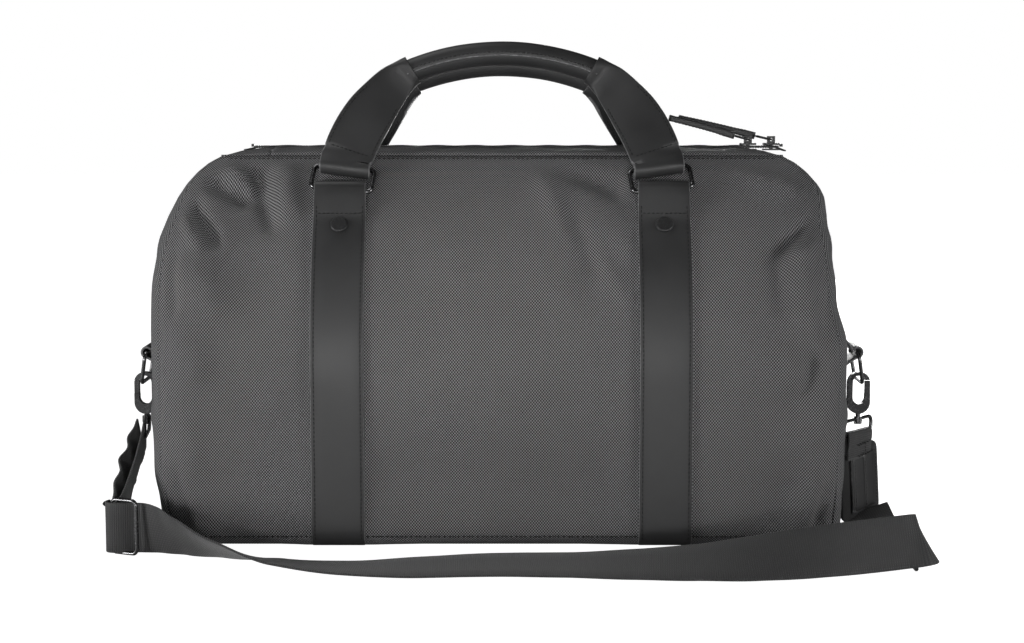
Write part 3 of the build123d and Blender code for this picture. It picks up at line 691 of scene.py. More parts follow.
def straight_seam(name, reach, steps, y, z, normal, radius, lift):
    """Level row of stitches from -reach to reach."""
    points = [Vector((-reach + 2 * reach * step / (steps - 1), y, z)) for step in range(steps)]
    new_object(name, stitch_mesh("row", points, [normal] * steps, 3.6, 2.4, radius, lift), ["thread"], "bag")


def seams():
    """Stitches below the mouth's lapped edge and along the base, on both sides."""
    z = SEAM_Z - 2.0
    lean = (z - ARC_Z) / ARC_R
    level = math.sqrt(1 - lean * lean)
    for word, sign in (("front", -1), ("rear", 1)):
        straight_seam("stitches_mouth_" + word, 214.0, 89, sign * wall_depth(z), z,
                      Vector((0, sign * level, lean)), 0.55, 0.2)
        straight_seam("stitches_base_" + word, 236.0, 120, sign * (HALF_DEPTH - 0.8), 9.0,
                      Vector((0, sign, 0)), 0.5, -0.1)


def base_cloth():
    """Flat bottom of the bag."""
    rows = []
    uvs = []
    for i in range(41):
        y = -103.0 + 206.0 * i / 40
        rows.append([Vector((-242.0 + 484.0 * j / 90, y, 0.3)) * MM for j in range(91)][::-1])
        uvs.append([((-242.0 + 484.0 * j / 90) * MM, y * MM) for j in range(91)][::-1])
    piece = new_object("cloth_base", grid_mesh("cloth_base", rows, uvs), ["ballistic_nylon"], "bag",
                       ("base_panel",))
    thicken(piece, 1.4 * MM)


def lining_sheet():
    """Lining hanging inside the walls, clear of their folds."""
    power = 0.16
    around = 120
    rows = []
    uvs = []
    for z in [6.0 + 11.0 * k for k in range(26)]:
        row = []
        for index in range(around):
            angle = 2 * math.pi * index / around
            c = math.cos(angle)
            s = math.sin(angle)
            ripple = 1.3 * math.sin(index * 0.9 + z * 0.05)
            x = math.copysign(abs(c) ** power, c) * (wall_width(z) - 16.0 + ripple)
            y = math.copysign(abs(s) ** power, s) * (wall_depth(z) - 15.0 + ripple)
            row.append(Vector((x, y, z)) * MM)
        rows.append(row)
        uvs.append([(index * 0.012, z * MM) for index in range(around)])
    mesh = grid_mesh("lining_sheet", rows, uvs, closed=True)
    piece = new_object("lining_sheet", mesh, ["lining_cloth"], "bag", ("lining",))
    thicken(piece, 0.6 * MM)


# ---------------------------------------------------------------- swept strips

def section_outline(width, thick, corner):
    """Offsets round a rounded rectangle."""
    half_w = width / 2
    half_t = thick / 2
    corner = min(corner, half_t * 0.98)
    outline = []
    for sign_w, sign_t, first in ((1, 1, 0), (-1, 1, 90), (-1, -1, 180), (1, -1, 270)):
        for step in range(4):
            angle = math.radians(first + 30 * step)
            outline.append((sign_w * (half_w - corner) + corner * math.cos(angle),
                            sign_t * (half_t - corner) + corner * math.sin(angle)))
        if sign_w * sign_t > 0:
            for share in (0.5, 0.0, -0.5):
                outline.append((sign_w * (half_w - corner) * share, sign_t * half_t))
    return outline


def strip_frame(across, along):
    """Unit directions across a strip and off its upper face."""
    along = Vector(along).normalized()
    across = (Vector(across) - along * Vector(across).dot(along)).normalized()
    return across, along.cross(across).normalized()


def swept_strip(name, stations, corner=0.8):
    """Closed strip through stations of (centre, across, along, width, thickness), in millimetres."""
    work = bmesh.new()
    layer = work.loops.layers.uv.new("UVMap")
    runs = running_lengths([station[0] for station in stations])
    rings = []
    for centre, across, along, width, thick in stations:
        across, up = strip_frame(across, along)
        outline = section_outline(width, thick, max(corner, (thick - 6.0) * 0.47))
        rings.append([(work.verts.new((Vector(centre) + across * a + up * b) * MM), a) for a, b in outline])
    count = len(rings[0])
    for i in range(len(rings) - 1):
        painted_from = stations[i][3] / 2 - corner * 0.9
        for j in range(count):
            nxt = (j + 1) % count
            corners = ((i, j), (i, nxt), (i + 1, nxt), (i + 1, j))
            face = work.faces.new([rings[a][b][0] for a, b in corners])
            near = min(abs(rings[i][j][1]), abs(rings[i][nxt][1])) > painted_from
            face.material_index = 1 if near else 0
            for loop, (a, b) in zip(face.loops, corners):
                loop[layer].uv = (runs[a] * MM, rings[a][b][1] * MM)
    for ring, turn in ((rings[0], -1), (rings[-1], 1)):
        cap = work.faces.new([vert for vert, _ in ring][::turn])
        cap.material_index = 1
    bmesh.ops.recalc_face_normals(work, faces=work.faces)
    return closed_off(work, name)


def curve_through(points, per=8):
    """Smooth values through rows of numbers (Catmull-Rom)."""
    out = []
    for i in range(len(points) - 1):
        p0 = points[max(i - 1, 0)]
        p1 = points[i]
        p2 = points[i + 1]
        p3 = points[min(i + 2, len(points) - 1)]
        for step in range(per):
            t = step / per
            out.append([0.5 * (2 * b + (c - a) * t + (2 * a - 5 * b + 4 * c - d) * t * t
                               + (3 * b - a - 3 * c + d) * t ** 3)
                        for a, b, c, d in zip(p0, p1, p2, p3)])
    out.append(list(points[-1]))
    return out


def stations_from(centres, across, width, thick):
    """Stations with the path's own direction; across, width and thick are one value or a list."""
    count = len(centres)
    columns = [value if isinstance(value, list) else [value] * count for value in (across, width, thick)]
    stations = []
    for index, (centre, direction, wide, deep) in enumerate(zip(centres, *columns)):
        low = Vector(centres[max(index - 1, 0)])
        high = Vector(centres[min(index + 1, count - 1)])
        stations.append((centre, direction, high - low, wide, deep))
    return stations


def stitch_row(stations, offset, face):
    """Stitches on one face of a strip, at an offset across it that depends on its width."""
    points = []
    normals = []
    for centre, across, along, width, thick in stations:
        across, up = strip_frame(across, along)
        points.append(Vector(centre) + across * offset(width) + up * (face * thick / 2))
        normals.append(up * face)
    return points, normals


def wall_arc(off, angle):
    """YZ of the front wall's arc, off the surface, at a direction angle."""
    reach = ARC_R + off
    turn = math.radians(angle)
    return ARC_R - HALF_DEPTH + reach * math.cos(turn), ARC_Z + reach * math.sin(turn)


CHAPE_ANGLE = 139.2
LOOP_R = 5.7
LOOP_TURNS = range(24, -201, -14)


def strap_centres():
    """Centre line of a strap in the YZ plane: up the panel and round the ring's lower bar."""
    line = []
    lift = 1.75
    for z in (3.0, 7.0, 11.0, 15.0, 20.0):
        line.append((-(wall_depth(z) + lift), z))
    z = 30.0
    while z < ARC_Z:
        line.append((-(HALF_DEPTH + lift), z))
        z += 8.0
    angle = 180.0
    while angle > CHAPE_ANGLE + 6.0:
        line.append(wall_arc(lift, angle))
        angle -= 1.6
    loop = []
    for turn in LOOP_TURNS:
        phi = math.radians(CHAPE_ANGLE + turn)
        loop.append((CHAPE_Y + LOOP_R * math.cos(phi), CHAPE_Z + LOOP_R * math.sin(phi)))
    start = loop[0]
    lower = line[-1]
    for share in (0.25, 0.5, 0.75):
        line.append((lower[0] + (start[0] - lower[0]) * share, lower[1] + (start[1] - lower[1]) * share))
    return line + loop


def leather_strap(word, side, sign):
    """Strap on the panel with its stitches; the chape folds round the ring."""
    line = strap_centres()
    loop_from = len(line) - len(LOOP_TURNS)
    centres = [(side * STRAP_X, y * sign, z) for y, z in line]
    shares = [smooth_steps(index, loop_from - 3, loop_from + 1) for index in range(len(line))]
    widths = [40.0 - 1.2 * share for share in shares]
    thicks = [2.9 - 1.1 * share for share in shares]
    stations = stations_from(centres, (1, 0, 0), widths, thicks)
    name = word + "_strap_" + ("left" if side < 0 else "right")
    new_object("leather_" + name, swept_strip(name, stations, 0.9), ["leather", "edge"], "bag",
               (name,))
    meshes = []
    offsets = (-17.4, 17.4)
    for offset in offsets:
        points, normals = stitch_row(stations[1:loop_from - 1], lambda width: offset, -sign)
        meshes.append(stitch_mesh("row", points, normals))
    cross = [index for index, (y, z) in enumerate(line) if z < 257.0][-1]
    along = (Vector(centres[cross + 1]) - Vector(centres[cross - 1])).normalized()
    up = along.cross(Vector((1, 0, 0))).normalized() * -sign
    ends = [Vector(centres[cross]) + up * 1.45 + Vector((offset, 0, 0)) for offset in offsets]
    meshes.append(stitch_mesh("row", ends, [up, up]))
    new_object("stitches_" + name, merged("stitches_" + name, meshes), ["thread"], "bag")


def leather_straps():
    for word, sign in (("front", 1), ("rear", -1)):
        for side in (-1, 1):
            leather_strap(word, side, sign)


# ---------------------------------------------------------------- handles

HANDLE_STATIONS = [
    # x, y, z, lean of the width in degrees, width, thickness
    (119.0, -57.6, 291.5, 10.0, 39.5, 3.4),
    (115.4, -52.0, 302.0, 17.0, 39.8, 4.6),
    (109.6, -45.0, 314.5, 24.0, 39.5, 4.8),
    (102.2, -37.2, 327.0, 31.0, 38.0, 5.0),
    (94.0, -28.6, 338.4, 40.0, 34.0, 6.0),
    (86.6, -20.0, 347.8, 50.0, 30.0, 9.0),
    (80.0, -14.6, 353.6, 58.0, 26.5, 15.0),
    (75.0, -12.4, 357.4, 63.0, 24.6, 21.0),
    (70.4, -12.0, 360.2, 66.0, 23.4, 23.0),
]


def handle_leather(word, side, sign, drop):
    """Flat leather strap from the ring's upper bar into the end of the grip."""
    rows = curve_through(HANDLE_STATIONS, 5)
    direction = Vector((0, math.cos(math.radians(62)), math.sin(math.radians(62))))
    outward = Vector((0, -direction.z, direction.y))
    bar = Vector((RING_TOP_X, RING_TOP_Y, RING_TOP_Z))
    tilt = Vector((math.cos(math.radians(8)), 0, math.sin(math.radians(8))))
    loop = []
    for back in (13.0, 9.0, 5.0, 1.5):
        loop.append(bar - outward * (LOOP_R - 3.2 * smooth_steps(back, 3.0, 13.0)) + direction * back)
    for turn in range(0, 181, 15):
        angle = math.radians(turn)
        loop.append(bar - outward * LOOP_R * math.cos(angle) - direction * LOOP_R * math.sin(angle))
    for ahead in (2.5, 5.0):
        loop.append(bar + outward * (LOOP_R - 0.25 * ahead) + direction * ahead)
    centres = list(loop)
    acrosses = [tilt] * len(loop)
    widths = [38.6] * len(loop)
    thicks = [1.8] * len(loop)
    # the loop's own end takes the place of the first two rows
    for x, y, z, lean, width, thick in rows[2:]:
        fall = drop * smooth_steps(z, 296.0, 350.0)
        centres.append(Vector((x, y, z - fall)))
        acrosses.append(Vector((math.cos(math.radians(lean)), 0.0, math.sin(math.radians(lean)))))
        widths.append(width)
        thicks.append(thick)
    flip = Matrix.Diagonal((side, sign, 1.0))
    centres = [flip @ centre for centre in centres]
    acrosses = [flip @ across for across in acrosses]
    stations = stations_from(centres, acrosses, widths, thicks)
    name = word + "_handle_strap_" + ("left" if side < 0 else "right")
    body = word + "_handle"
    new_object("leather_" + name, swept_strip(name, stations, 1.0), ["leather", "edge"], body,
               (name,))
    sewn = stations[len(loop) + 1:len(loop) + 19]
    meshes = []
    for inner in (-1, 1):
        for top in (-1, 1):
            row = stitch_row(sewn, lambda width: inner * (width / 2 - 2.7), top)
            meshes.append(stitch_mesh("row", *row))
    centre, across, along, _, thick = sewn[0]
    across, up = strip_frame(across, along)
    for top in (-1, 1):
        ends = [centre + across * shift + up * (top * thick / 2) for shift in (-16.5, 16.5)]
        meshes.append(stitch_mesh("row", ends, [up * top, up * top]))
    new_object("stitches_" + name, merged("stitches_" + name, meshes), ["thread"], body)


def grip_point(t, drop):
    """Centre of the grip at a share of its arc from -1 to 1, with its direction."""
    radius = (75.0 ** 2 + 15.0 ** 2) / 30.0
    half = math.asin(75.0 / radius)
    angle = half * t
    centre = Vector((radius * math.sin(angle), -12.0, 358.0 - drop + 15.0 - radius + radius * math.cos(angle)))
    along = Vector((math.cos(angle), 0.0, -math.sin(angle)))
    return centre, along


def grip_leather(word, sign, drop):
    """Rolled grip: leather lapped over the rope, with its free edge and stitches on the front."""
    rows = []
    uvs = []
    steps = 110
    around = 64
    seam = math.radians(-8.0)
    for i in range(steps + 1):
        t = -1.0 + 2.0 * i / steps
        centre, along = grip_point(t, drop)
        up = Vector((0, 1, 0)).cross(along).normalized() * -1
        end = smooth_steps(abs(t), 0.93, 1.0)
        row = []
        uv = []
        for j in range(around + 1):
            # the lap starts at the seam, one leather thickness proud, and thins out round the tube
            angle = seam + 2 * math.pi * j / around
            lap = 1.5 * (1 - smooth_steps(j / around, 0.0, 0.28))
            size = 8.9 + lap + 0.05 * math.sin(t * 9 + 3 * math.cos(angle)) - 0.5 * end
            radial = Vector((0, -1, 0)) * math.cos(angle) + up * math.sin(angle) * 1.06
            row.append((centre + radial * size) * MM)
            uv.append((t * 75 * MM, angle * 10 * MM))
        rows.append(row)
        uvs.append(uv)
    flip = Matrix.Diagonal((1.0, sign, 1.0))
    rows = [[flip @ point for point in row] for row in rows]
    mesh = grid_mesh(word + "_grip_leather", rows, uvs)
    body = word + "_handle"
    new_object("leather_" + word + "_grip", mesh, ["leather", "edge"], body, (word + "_grip",))
    # the cut face of the lap, as a thin painted line
    edge_points = []
    stitch_points = []
    normals = []
    low = seam + 0.26
    for i in range(steps + 1):
        centre, along = grip_point(-1.0 + 2.0 * i / steps, drop)
        up = Vector((0, 1, 0)).cross(along).normalized() * -1
        radial = Vector((0, -1, 0)) * math.cos(seam) + up * math.sin(seam)
        edge_points.append(flip @ (centre + radial * 9.75))
        radial = Vector((0, -1, 0)) * math.cos(low) + up * math.sin(low) * 1.06
        stitch_points.append(flip @ (centre + radial * 10.2))
        normals.append(flip @ radial)
    stations = stations_from(edge_points, Vector((0, -sign, 0.15)), 1.5, 1.1)
    new_object("edge_" + word + "_grip", swept_strip("edge", stations, 0.4), ["edge", "edge"], body)
    new_object("stitches_" + word + "_grip", stitch_mesh("row", stitch_points, normals), ["thread"], body)


def handles():
    for word, sign, drop in (("front", 1, 0.0), ("rear", -1, 8.0)):
        for side in (-1, 1):
            handle_leather(word, side, sign, drop)
        grip_leather(word, sign, drop)


# ---------------------------------------------------------------- zip

def zip_teeth(name, x_low, x_high, sign, body, nodes):
    """Row of moulded coil loops along one side of the zip."""
    work = bmesh.new()
    pitch = 2.0
    x = x_low + 0.6 + (0.5 * pitch if sign > 0 else 0.0)
    while x < x_high - 0.6:
        rings = []
        for share in range(7):
            y = sign * (0.35 + 2.8 * share / 6)
            swell = 0.62 if share in (0, 1) else 0.5
            ring = []
            for corner in range(8):
                angle = 2 * math.pi * corner / 8
                ring.append(work.verts.new(Vector((x + swell * math.cos(angle), y,
                                                   299.6 + 1.15 * math.sin(angle))) * MM))
            rings.append(ring)
        bridge(work, rings)
        work.faces.new(rings[0])
        work.faces.new(rings[-1])
        x += pitch
    bmesh.ops.recalc_face_normals(work, faces=work.faces)
    new_object(name, closed_off(work, name), ["zip_coil"], body, nodes)


def zip_tape(name, x_low, x_high, sign, body, nodes):
    """Woven tape between the coil and the cloth, with its sewn edge standing a little proud."""
    rows = []
    uvs = []
    steps = max(8, int((x_high - x_low) / 3))
    for i in range(9):
        y = sign * (2.6 + 7.6 * i / 8)
        row = []
        for j in range(steps + 1):
            x = x_low + (x_high - x_low) * j / steps
            lift = 0.25 * math.sin(x * 0.21) * (i / 8) + (0.5 if i > 6 else 0.0)
            lift -= 3.0 * smooth_steps(-x, 190, 206) + 3.5 * smooth_steps(x, 214, 226)
            row.append(Vector((x, y, 299.5 + lift)) * MM)
        rows.append(row)
        uvs.append([(point.x, point.y) for point in row])
    if sign > 0:
        rows = rows[::-1]
        uvs = uvs[::-1]
    piece = new_object(name, grid_mesh(name, rows, uvs), ["zip_tape"], body, nodes)
    thicken(piece, 0.7 * MM)
    return piece


def zip_track():
    for word, sign in (("front", -1), ("rear", 1)):
        body = word + "_flap"
        zip_teeth("teeth_" + word, MOUTH_LEFT, MOUTH_RIGHT, sign, body, (word + "_zip_teeth",))
        zip_tape("tape_" + word, MOUTH_LEFT, MOUTH_RIGHT, sign, body, (word + "_zip_tape",))
    for word, low, high in (("left", -205.0, MOUTH_LEFT - 0.3), ("right", MOUTH_RIGHT + 0.3, 225.0)):
        for label, sign in (("front", -1), ("rear", 1)):
            inner = max(low, -198.0)
            outer = min(high, 221.0)
            zip_teeth("teeth_end_" + word + "_" + label, inner, outer, sign, "bag", ("zip_fixed_ends",))
            zip_tape("tape_end_" + word + "_" + label, low, high, sign, "bag", ("zip_fixed_ends",))


def pull_leather(name, slider_x, sign, rise, reach):
    """Folded leather zip pull with stitches along both edges."""
    pivot = Vector((slider_x, 0.0, 305.4))
    turn = Matrix.Rotation(math.radians(rise), 3, "Y")
    y = sign * 9.25
    body = "pull_" + name[-1]
    centres = []
    thicks = []
    for step in range(30):
        share = step / 29
        x = -12.6 - (reach - 12.6) * share
        centres.append(pivot + turn @ Vector((x, y, 0.5 * math.sin(share * 3.0))))
        thicks.append(5.6 - 0.9 * smooth_steps(share, 0.1, 0.3) + 0.4 * smooth_steps(share, 0.9, 1.0))
    stations = stations_from(centres, (0, 1, 0), 9.2, thicks)
    new_object("leather_" + name, swept_strip(name, stations, 1.1), ["pull_leather", "leather"], body,
               (name,))
    meshes = []
    for offset in (-2.9, 2.9):
        for face in (-1, 1):
            points, normals = stitch_row(stations[3:28], lambda width: offset, face)
            meshes.append(stitch_mesh("row", points, normals, 2.8, 2.0, 0.3, 0.0))
    new_object("stitches_" + name, merged("stitches_" + name, meshes), ["thread"], body)


# ---------------------------------------------------------------- shoulder strap

LEFT_LAYER = [(-281, -46, 78), (-281.5, -66, 65), (-282.5, -88, 51), (-283.5, -108, 37), (-284.5, -122, 24)]
LEFT_LAYER_TILTS = [-98, -102, -104, -100, -92]
WRAP = [(-289, -122.5, 20.6), (-295, -126, 20.2), (-294.6, -134, 19.8)]
WRAP_TILTS = [-90, -90, -90]
FRONT_RUN = [
    (-283, -134.5, 19.6), (-270, -130.5, 19.4), (-255, -138, 19.8), (-238, -152, 18.0), (-210, -168, 12.8),
    (-166, -181, 5.4), (-114, -190, 2.6),
    (-62, -190, 3.4), (-8, -188, 5.4), (50, -195, 6.6), (96, -201, 8.6), (140, -205, 10.8), (182, -207, 14.4),
    (222, -205, 18.4), (262, -204, 22.5), (290, -204, 26.0)]
FRONT_RUN_TILTS = [-90, -88, -76, -58, -34, -9, 0, 8, 11, 13, 20, 28, 42, 58, 74, 80]
FOLD = [(303, -202, 27.0)]
FOLD_TILTS = [60]
PAD_RUN = [(298, -172, 19), (296, -148, 11.6), (298, -122, 5.4), (299, -98, 2.8), (297, -68, 2.8),
           (293, -47, 3.6), (289.5, -34, 12)]
PAD_RUN_TILTS = [50, 30, 10, 0, 0, -8, -20]


def route_points(name, points):
    """Points along the route's smooth line, in metres."""
    curve = bpy.data.curves.new(name, "CURVE")
    curve.dimensions = "3D"
    curve.resolution_u = 16
    spline = curve.splines.new("NURBS")
    spline.points.add(len(points) - 1)
    for target, point in zip(spline.points, points):
        target.co = (point[0] * MM, point[1] * MM, point[2] * MM, 1.0)
    spline.order_u = 3
    spline.use_endpoint_u = True
    holder = bpy.data.objects.new(name, curve)
    bpy.context.scene.collection.objects.link(holder)
    bpy.context.view_layer.update()
    mesh = bpy.data.meshes.new_from_object(holder)
    line = [vertex.co.copy() for vertex in mesh.vertices]
    bpy.data.objects.remove(holder)
    bpy.data.meshes.remove(mesh)
    return line


def ribbon(name, points, tilts, nodes, wobble=0.0):
    """Flat webbing along a route, its width turning from tilt to tilt."""
    line = route_points(name + "_route", points)
    marks = running_lengths(points)
    marks = [mark / marks[-1] for mark in marks]
    lengths = running_lengths(line)
    stations = []
    for index, point in enumerate(line):
        share = lengths[index] / lengths[-1]
        seat = max(k for k in range(len(marks) - 1) if marks[k] <= share + 1e-9)
        part = (share - marks[seat]) / (marks[seat + 1] - marks[seat])
        part = part * part * (3 - 2 * part) * 0.4 + part * 0.6
        tilt = math.radians(tilts[seat] + part * (tilts[seat + 1] - tilts[seat]))
        along = (line[min(index + 1, len(line) - 1)] - line[max(index - 1, 0)]).normalized()
        level = Vector((0, 0, 1)).cross(along).normalized()
        rise = along.cross(level).normalized()
        across = level * math.cos(tilt) + rise * math.sin(tilt)
        up = along.cross(across)
        wave = wobble * math.sin(share * 21.0) * math.sin(math.pi * share)
        stations.append((point / MM + up * wave, across, along, WEBBING, WEBBING_THICK))
    piece = new_object(name, swept_strip(name, stations, 0.7), ["webbing", "webbing"], "bag", nodes)
    return piece, line, lengths[-1]


def shoulder_strap():
    """The long webbing from the left swivel loop through the slider and the fold to the pad."""
    points = LEFT_LAYER + WRAP + FRONT_RUN + FOLD + PAD_RUN
    tilts = LEFT_LAYER_TILTS + WRAP_TILTS + FRONT_RUN_TILTS + FOLD_TILTS + PAD_RUN_TILTS
    nodes = ("shoulder_webbing", "webbing_return", "pad_strap")
    run, line, length = ribbon("strap_run", points, tilts, nodes)
    beside = [(-284, -50, 74), (-287, -68, 62), (-289.5, -89, 48), (-290.5, -108, 35), (-290, -120, 26)]
    layer, _, _ = ribbon("strap_return", beside, [-94, -93, -92, -91, -90], (), 1.9)
    return run, layer, line, length


PAD_HUB = Vector((281.0, -40.0, 74.5))
PAD_YAW = Matrix.Rotation(math.radians(46.0), 3, "Z")
PAD_LEAN = Matrix.Rotation(math.radians(-6.0), 3, "Y")


def pad_place(x, depth, z):
    """Point of the pad group: x across, depth backwards and z up, hanging from the swivel loop's wire."""
    return PAD_HUB + PAD_YAW @ (PAD_LEAN @ Vector((x + 1.5, depth - 2.0, z - PAD_HUB.z)))


def pad_piece(name, width, height, thick, middle, depth, corner, material, nodes, quilting=False):
    """Soft rounded rectangle hanging upright at the right end, turned to face outwards."""
    rows = []
    uvs = []
    count = 40
    tall = 60
    for i in range(tall + 1):
        v = -1 + 2 * i / tall
        row = []
        uv = []
        for j in range(count + 1):
            u = -1 + 2 * j / count
            x = u * width / 2
            z = v * height / 2
            over_x = max(0.0, abs(x) - (width / 2 - corner))
            over_z = max(0.0, abs(z) - (height / 2 - corner))
            reach = math.hypot(over_x, over_z)
            if over_x > 0 and over_z > 0 and reach > corner:
                x = math.copysign(width / 2 - corner + over_x * corner / reach, x)
                z = math.copysign(height / 2 - corner + over_z * corner / reach, z)
            swell = (1 - abs(u) ** 4) * (1 - abs(v) ** 6)
            y = -thick / 2 * swell
            if quilting:
                y += 0.55 * math.exp(-(x / 1.3) ** 2)
                y += 0.4 * math.exp(-((abs(x) - width / 2 + 2.6) / 1.0) ** 2)
                y += 0.4 * math.exp(-((z + height / 2 - 3.2) / 1.0) ** 2)
            row.append(pad_place(middle[0] + x, depth + y, middle[1] + z) * MM)
            uv.append((x * MM, z * MM))
        rows.append(row)
        uvs.append(uv)
    piece = new_object(name, grid_mesh(name, rows, uvs), [material, "edge"], "bag", nodes)
    thicken(piece, thick * 0.7 * MM, rim=1 if quilting else None)
    return piece


def pad_stitches():
    """Centre and edge stitch rows on the leather tab, and the zigzag bar on the webbing above it."""
    normal = PAD_YAW @ Vector((0, -1, 0))
    meshes = []

    def row(points):
        placed = [pad_place(x, depth, z) for x, depth, z in points]
        meshes.append(stitch_mesh("row", placed, [normal] * len(placed), 2.7, 2.0, 0.32))

    for x in (-11.4, 3.0, 17.4):
        row([(x, -1.1 if x == 3.0 else -1.0, 13.5), (x, -1.5, 34.0), (x, -1.2, 55.5)])
    row([(-11.4, -1.0, 13.5), (3.0, -1.2, 13.5), (17.4, -1.0, 13.5)])
    for z in (57.5, 66.5):
        row([(-8.5 + step * 1.6, -1.9, z + (0.9 if step % 2 else -0.9)) for step in range(13)])
    row([(3.0, -1.9, 56.0), (3.0, -1.9, 67.0)])
    return new_object("stitches_pad", merged("stitches_pad", meshes), ["thread"], "bag")


def webbing_end():
    """Webbing folded round the right swivel loop's lower wire."""
    turn = Matrix.Rotation(math.radians(50.0), 3, "Z")
    hub = PAD_HUB
    across = turn @ Vector((1, 0, 0))
    front = turn @ Vector((0, -1, 0))
    up = Vector((0, 0, 1))
    centres = []
    for z in (-19.5, -16.0, -12.0, -8.0, -4.0):
        centres.append(hub + front * (2.7 - 0.9 * smooth_steps(-z, 2.0, 12.0)) + up * z)
    for turn_step in range(0, 181, 20):
        angle = math.radians(turn_step)
        centres.append(hub + front * 2.7 * math.cos(angle) + up * 2.7 * math.sin(angle))
    for z in (-4.0, -8.0, -12.0, -16.0):
        centres.append(hub - front * (2.7 - 2.4 * smooth_steps(-z, 2.0, 12.0)) + up * z)
    stations = stations_from(centres, across, 36.0, 1.6)
    return new_object("pad_webbing", swept_strip("pad_webbing", stations, 0.6), ["webbing", "webbing"], "bag",
                      ("pad_webbing_end",))


def pad_end(run, layer, line, length):
    """Pad, leather tab and webbing end on the right hook; the strap's run, layer, line and length are not
    used.
    """
    pad = pad_piece("pad", 52.0, 61.0, 6.0, (3.0, 33.0), 4.6, 9.0, "pad_cloth",
                    ("shoulder_pad",))
    tab = pad_piece("pad_tab", 34.0, 46.0, 2.0, (3.0, 34.0), 0.2, 2.0, "leather",
                    ("pad_leather_tab",), True)
    stitches = pad_stitches()
    webbing = webbing_end()


def side_tabs():
    """Leather tabs folded round the D-rings' bars."""
    bar = (277.0, 141.0)
    for word, side in (("left", -1), ("right", 1)):
        centres = [(262.5, 113.0), (262.5, 118.0), (262.4, 123.0), (264.0, 127.5), (268.0, 131.2),
                   (272.6, 134.6)]
        for turn in range(-90, 151, 20):
            angle = math.radians(turn)
            centres.append((bar[0] + 3.9 * math.cos(angle), bar[1] + 3.9 * math.sin(angle)))
        centres += [(270.5, 147.4), (266.5, 151.6), (263.2, 156.0), (262.4, 161.0), (262.4, 164.0)]
        placed = [Vector((side * x, -40.0, z)) for x, z in centres]
        stations = stations_from(placed, (0, 1, 0), 30.0, 2.0)
        name = "side_tab_" + word
        new_object("leather_" + name, swept_strip(name, stations, 0.8), ["leather", "edge"], "bag",
                   (name,))


def soften_hardware():
    """Small rounding on the metal nodes' edges, so that they catch the light."""
    names = ["hook_body_left", "hook_body_right", "hook_gate_left", "hook_gate_right", "zip_slider_a",
             "zip_slider_b", "zip_stops"]
    for name in names:
        node = frame["nodes"][name]
        bevel = node.modifiers.new("edges", "BEVEL")
        bevel.width = 0.5 * MM
        bevel.segments = 3
        bevel.limit_method = "ANGLE"
        bevel.angle_limit = math.radians(35)
        for polygon in node.data.polygons:
            polygon.use_smooth = True


def add_lamp(name, kind, place, target, power):
    """Lamp of a kind at a place, aimed at a target; its data is returned."""
    light = bpy.data.lights.new(name, kind)
    light.energy = power
    lamp = bpy.data.objects.new(name, light)
    lamp.location = place
    aim = Vector(target) - Vector(place)
    lamp.rotation_euler = aim.to_track_quat("-Z", "Y").to_euler()
    bpy.context.scene.collection.objects.link(lamp)
    return light


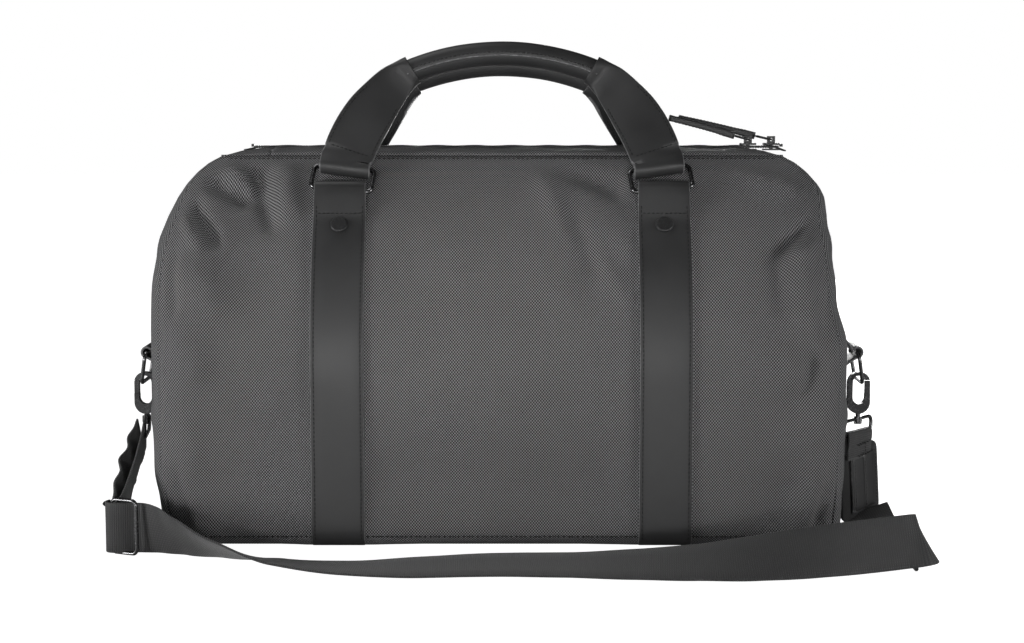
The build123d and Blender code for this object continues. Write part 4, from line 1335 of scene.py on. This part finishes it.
def camera_and_lights():
    """Camera at the product shot's angle, and a soft white studio."""
    scene = bpy.context.scene
    data = bpy.data.cameras.new("camera")
    data.sensor_width = 36.0
    data.lens = 65.742
    camera = bpy.data.objects.new("camera", data)
    camera.location = (7.7 * MM, -1.5, 0.330)
    camera.rotation_euler = (math.radians(90 - 6.5), 0, 0)
    scene.collection.objects.link(camera)
    scene.camera = camera
    scene.view_settings.view_transform = "Standard"
    world = bpy.data.worlds.new("studio")
    world.use_nodes = True
    tree = world.node_tree
    background = tree.nodes["Background"]
    background.inputs["Color"].default_value = (1, 1, 1, 1)
    light_path = tree.nodes.new("ShaderNodeLightPath")
    level = tree.nodes.new("ShaderNodeMapRange")
    level.inputs["To Min"].default_value = 0.035
    level.inputs["To Max"].default_value = 1.0
    tree.links.new(light_path.outputs["Is Camera Ray"], level.inputs["Value"])
    tree.links.new(level.outputs[0], background.inputs["Strength"])
    scene.world = world
    lamps = [
        ("key_left", (-1.9, -1.0, 0.2), (0, 0, 0.15), 24.0, 0.6),
        ("fill_right", (1.9, -0.9, 0.2), (0, 0, 0.15), 15.0, 0.6),
        ("bounce_front", (-0.1, -1.05, 0.02), (0, -0.2, 0.5), 4.0, 0.9),
        ("rim_top", (-0.5, 0.25, 1.5), (0, 0, 0.15), 3.5, 0.5),
        ("fill_rear", (0.5, 2.1, 0.4), (0, 0, 0.15), 30.0, 0.9),
    ]
    for name, place, target, power, size in lamps:
        light = add_lamp(name, "AREA", place, target, power)
        light.shape = "RECTANGLE"
        light.size = size
        light.size_y = size
    pools = (("pool_left", -0.19, 0.165, 40.0), ("pool_right", 0.16, 0.16, 34.0),
             ("pool_handle", -0.01, 0.375, 26.0))
    for name, across, height, power in pools:
        light = add_lamp(name, "SPOT", (across * 2.2, -2.1, 0.2), (across, -0.118, height), power)
        light.spot_size = math.radians(17.0)
        light.spot_blend = 1.0
        light.shadow_soft_size = 0.12


def floor():
    """Pale seamless floor."""
    n = Nodes("floor")
    n.bsdf.inputs["Base Color"].default_value = (0.3, 0.3, 0.3, 1)
    n.bsdf.inputs["Roughness"].default_value = 0.6
    n.bsdf.inputs["Emission Color"].default_value = (1, 1, 1, 1)
    seen = n.tree.nodes.new("ShaderNodeLightPath").outputs["Is Camera Ray"]
    n.link(n.ramp(seen, 0.0, 1.0, 0.04, 1.0), n.bsdf.inputs["Emission Strength"])
    mesh = bpy.data.meshes.new("floor")
    size = 8.0
    level = -0.0005
    corners = [(-size, -size, level), (size, -size, level), (size, size, level), (-size, size, level)]
    mesh.from_pydata(corners, [], [(0, 1, 2, 3)])
    mesh.materials.append(n.material)
    plane = bpy.data.objects.new("floor", mesh)
    bpy.context.scene.collection.objects.link(plane)


def finish_nodes():
    """Gives every CAD node that still shows its own material."""
    slots = {entry["node"]: entry["material_slot"] for entry in frame["record"]["subparts"]}
    finishes = {"strap_rivets": "rivet"}
    for name in ("zip_slider_a", "zip_slider_b", "zip_link_a", "zip_link_b", "zip_stops"):
        finishes[name] = "black_plating"
    for name, node in frame["nodes"].items():
        material = MATERIALS[finishes.get(name, slots[name])]
        for index in range(len(node.material_slots)):
            node.material_slots[index].material = material
        if not node.material_slots:
            node.data.materials.append(material)


camera_and_lights()
pad_end(*shoulder_strap())
floor()
bag_cloth()
mouth_cloth()
seams()
base_cloth()
lining_sheet()
leather_straps()
handles()
zip_track()
pull_leather("zip_pull_a", 196.0, -1, 15.0, 66.0)
pull_leather("zip_pull_b", 214.5, 1, 13.0, 75.0)
side_tabs()
soften_hardware()
finish_nodes()
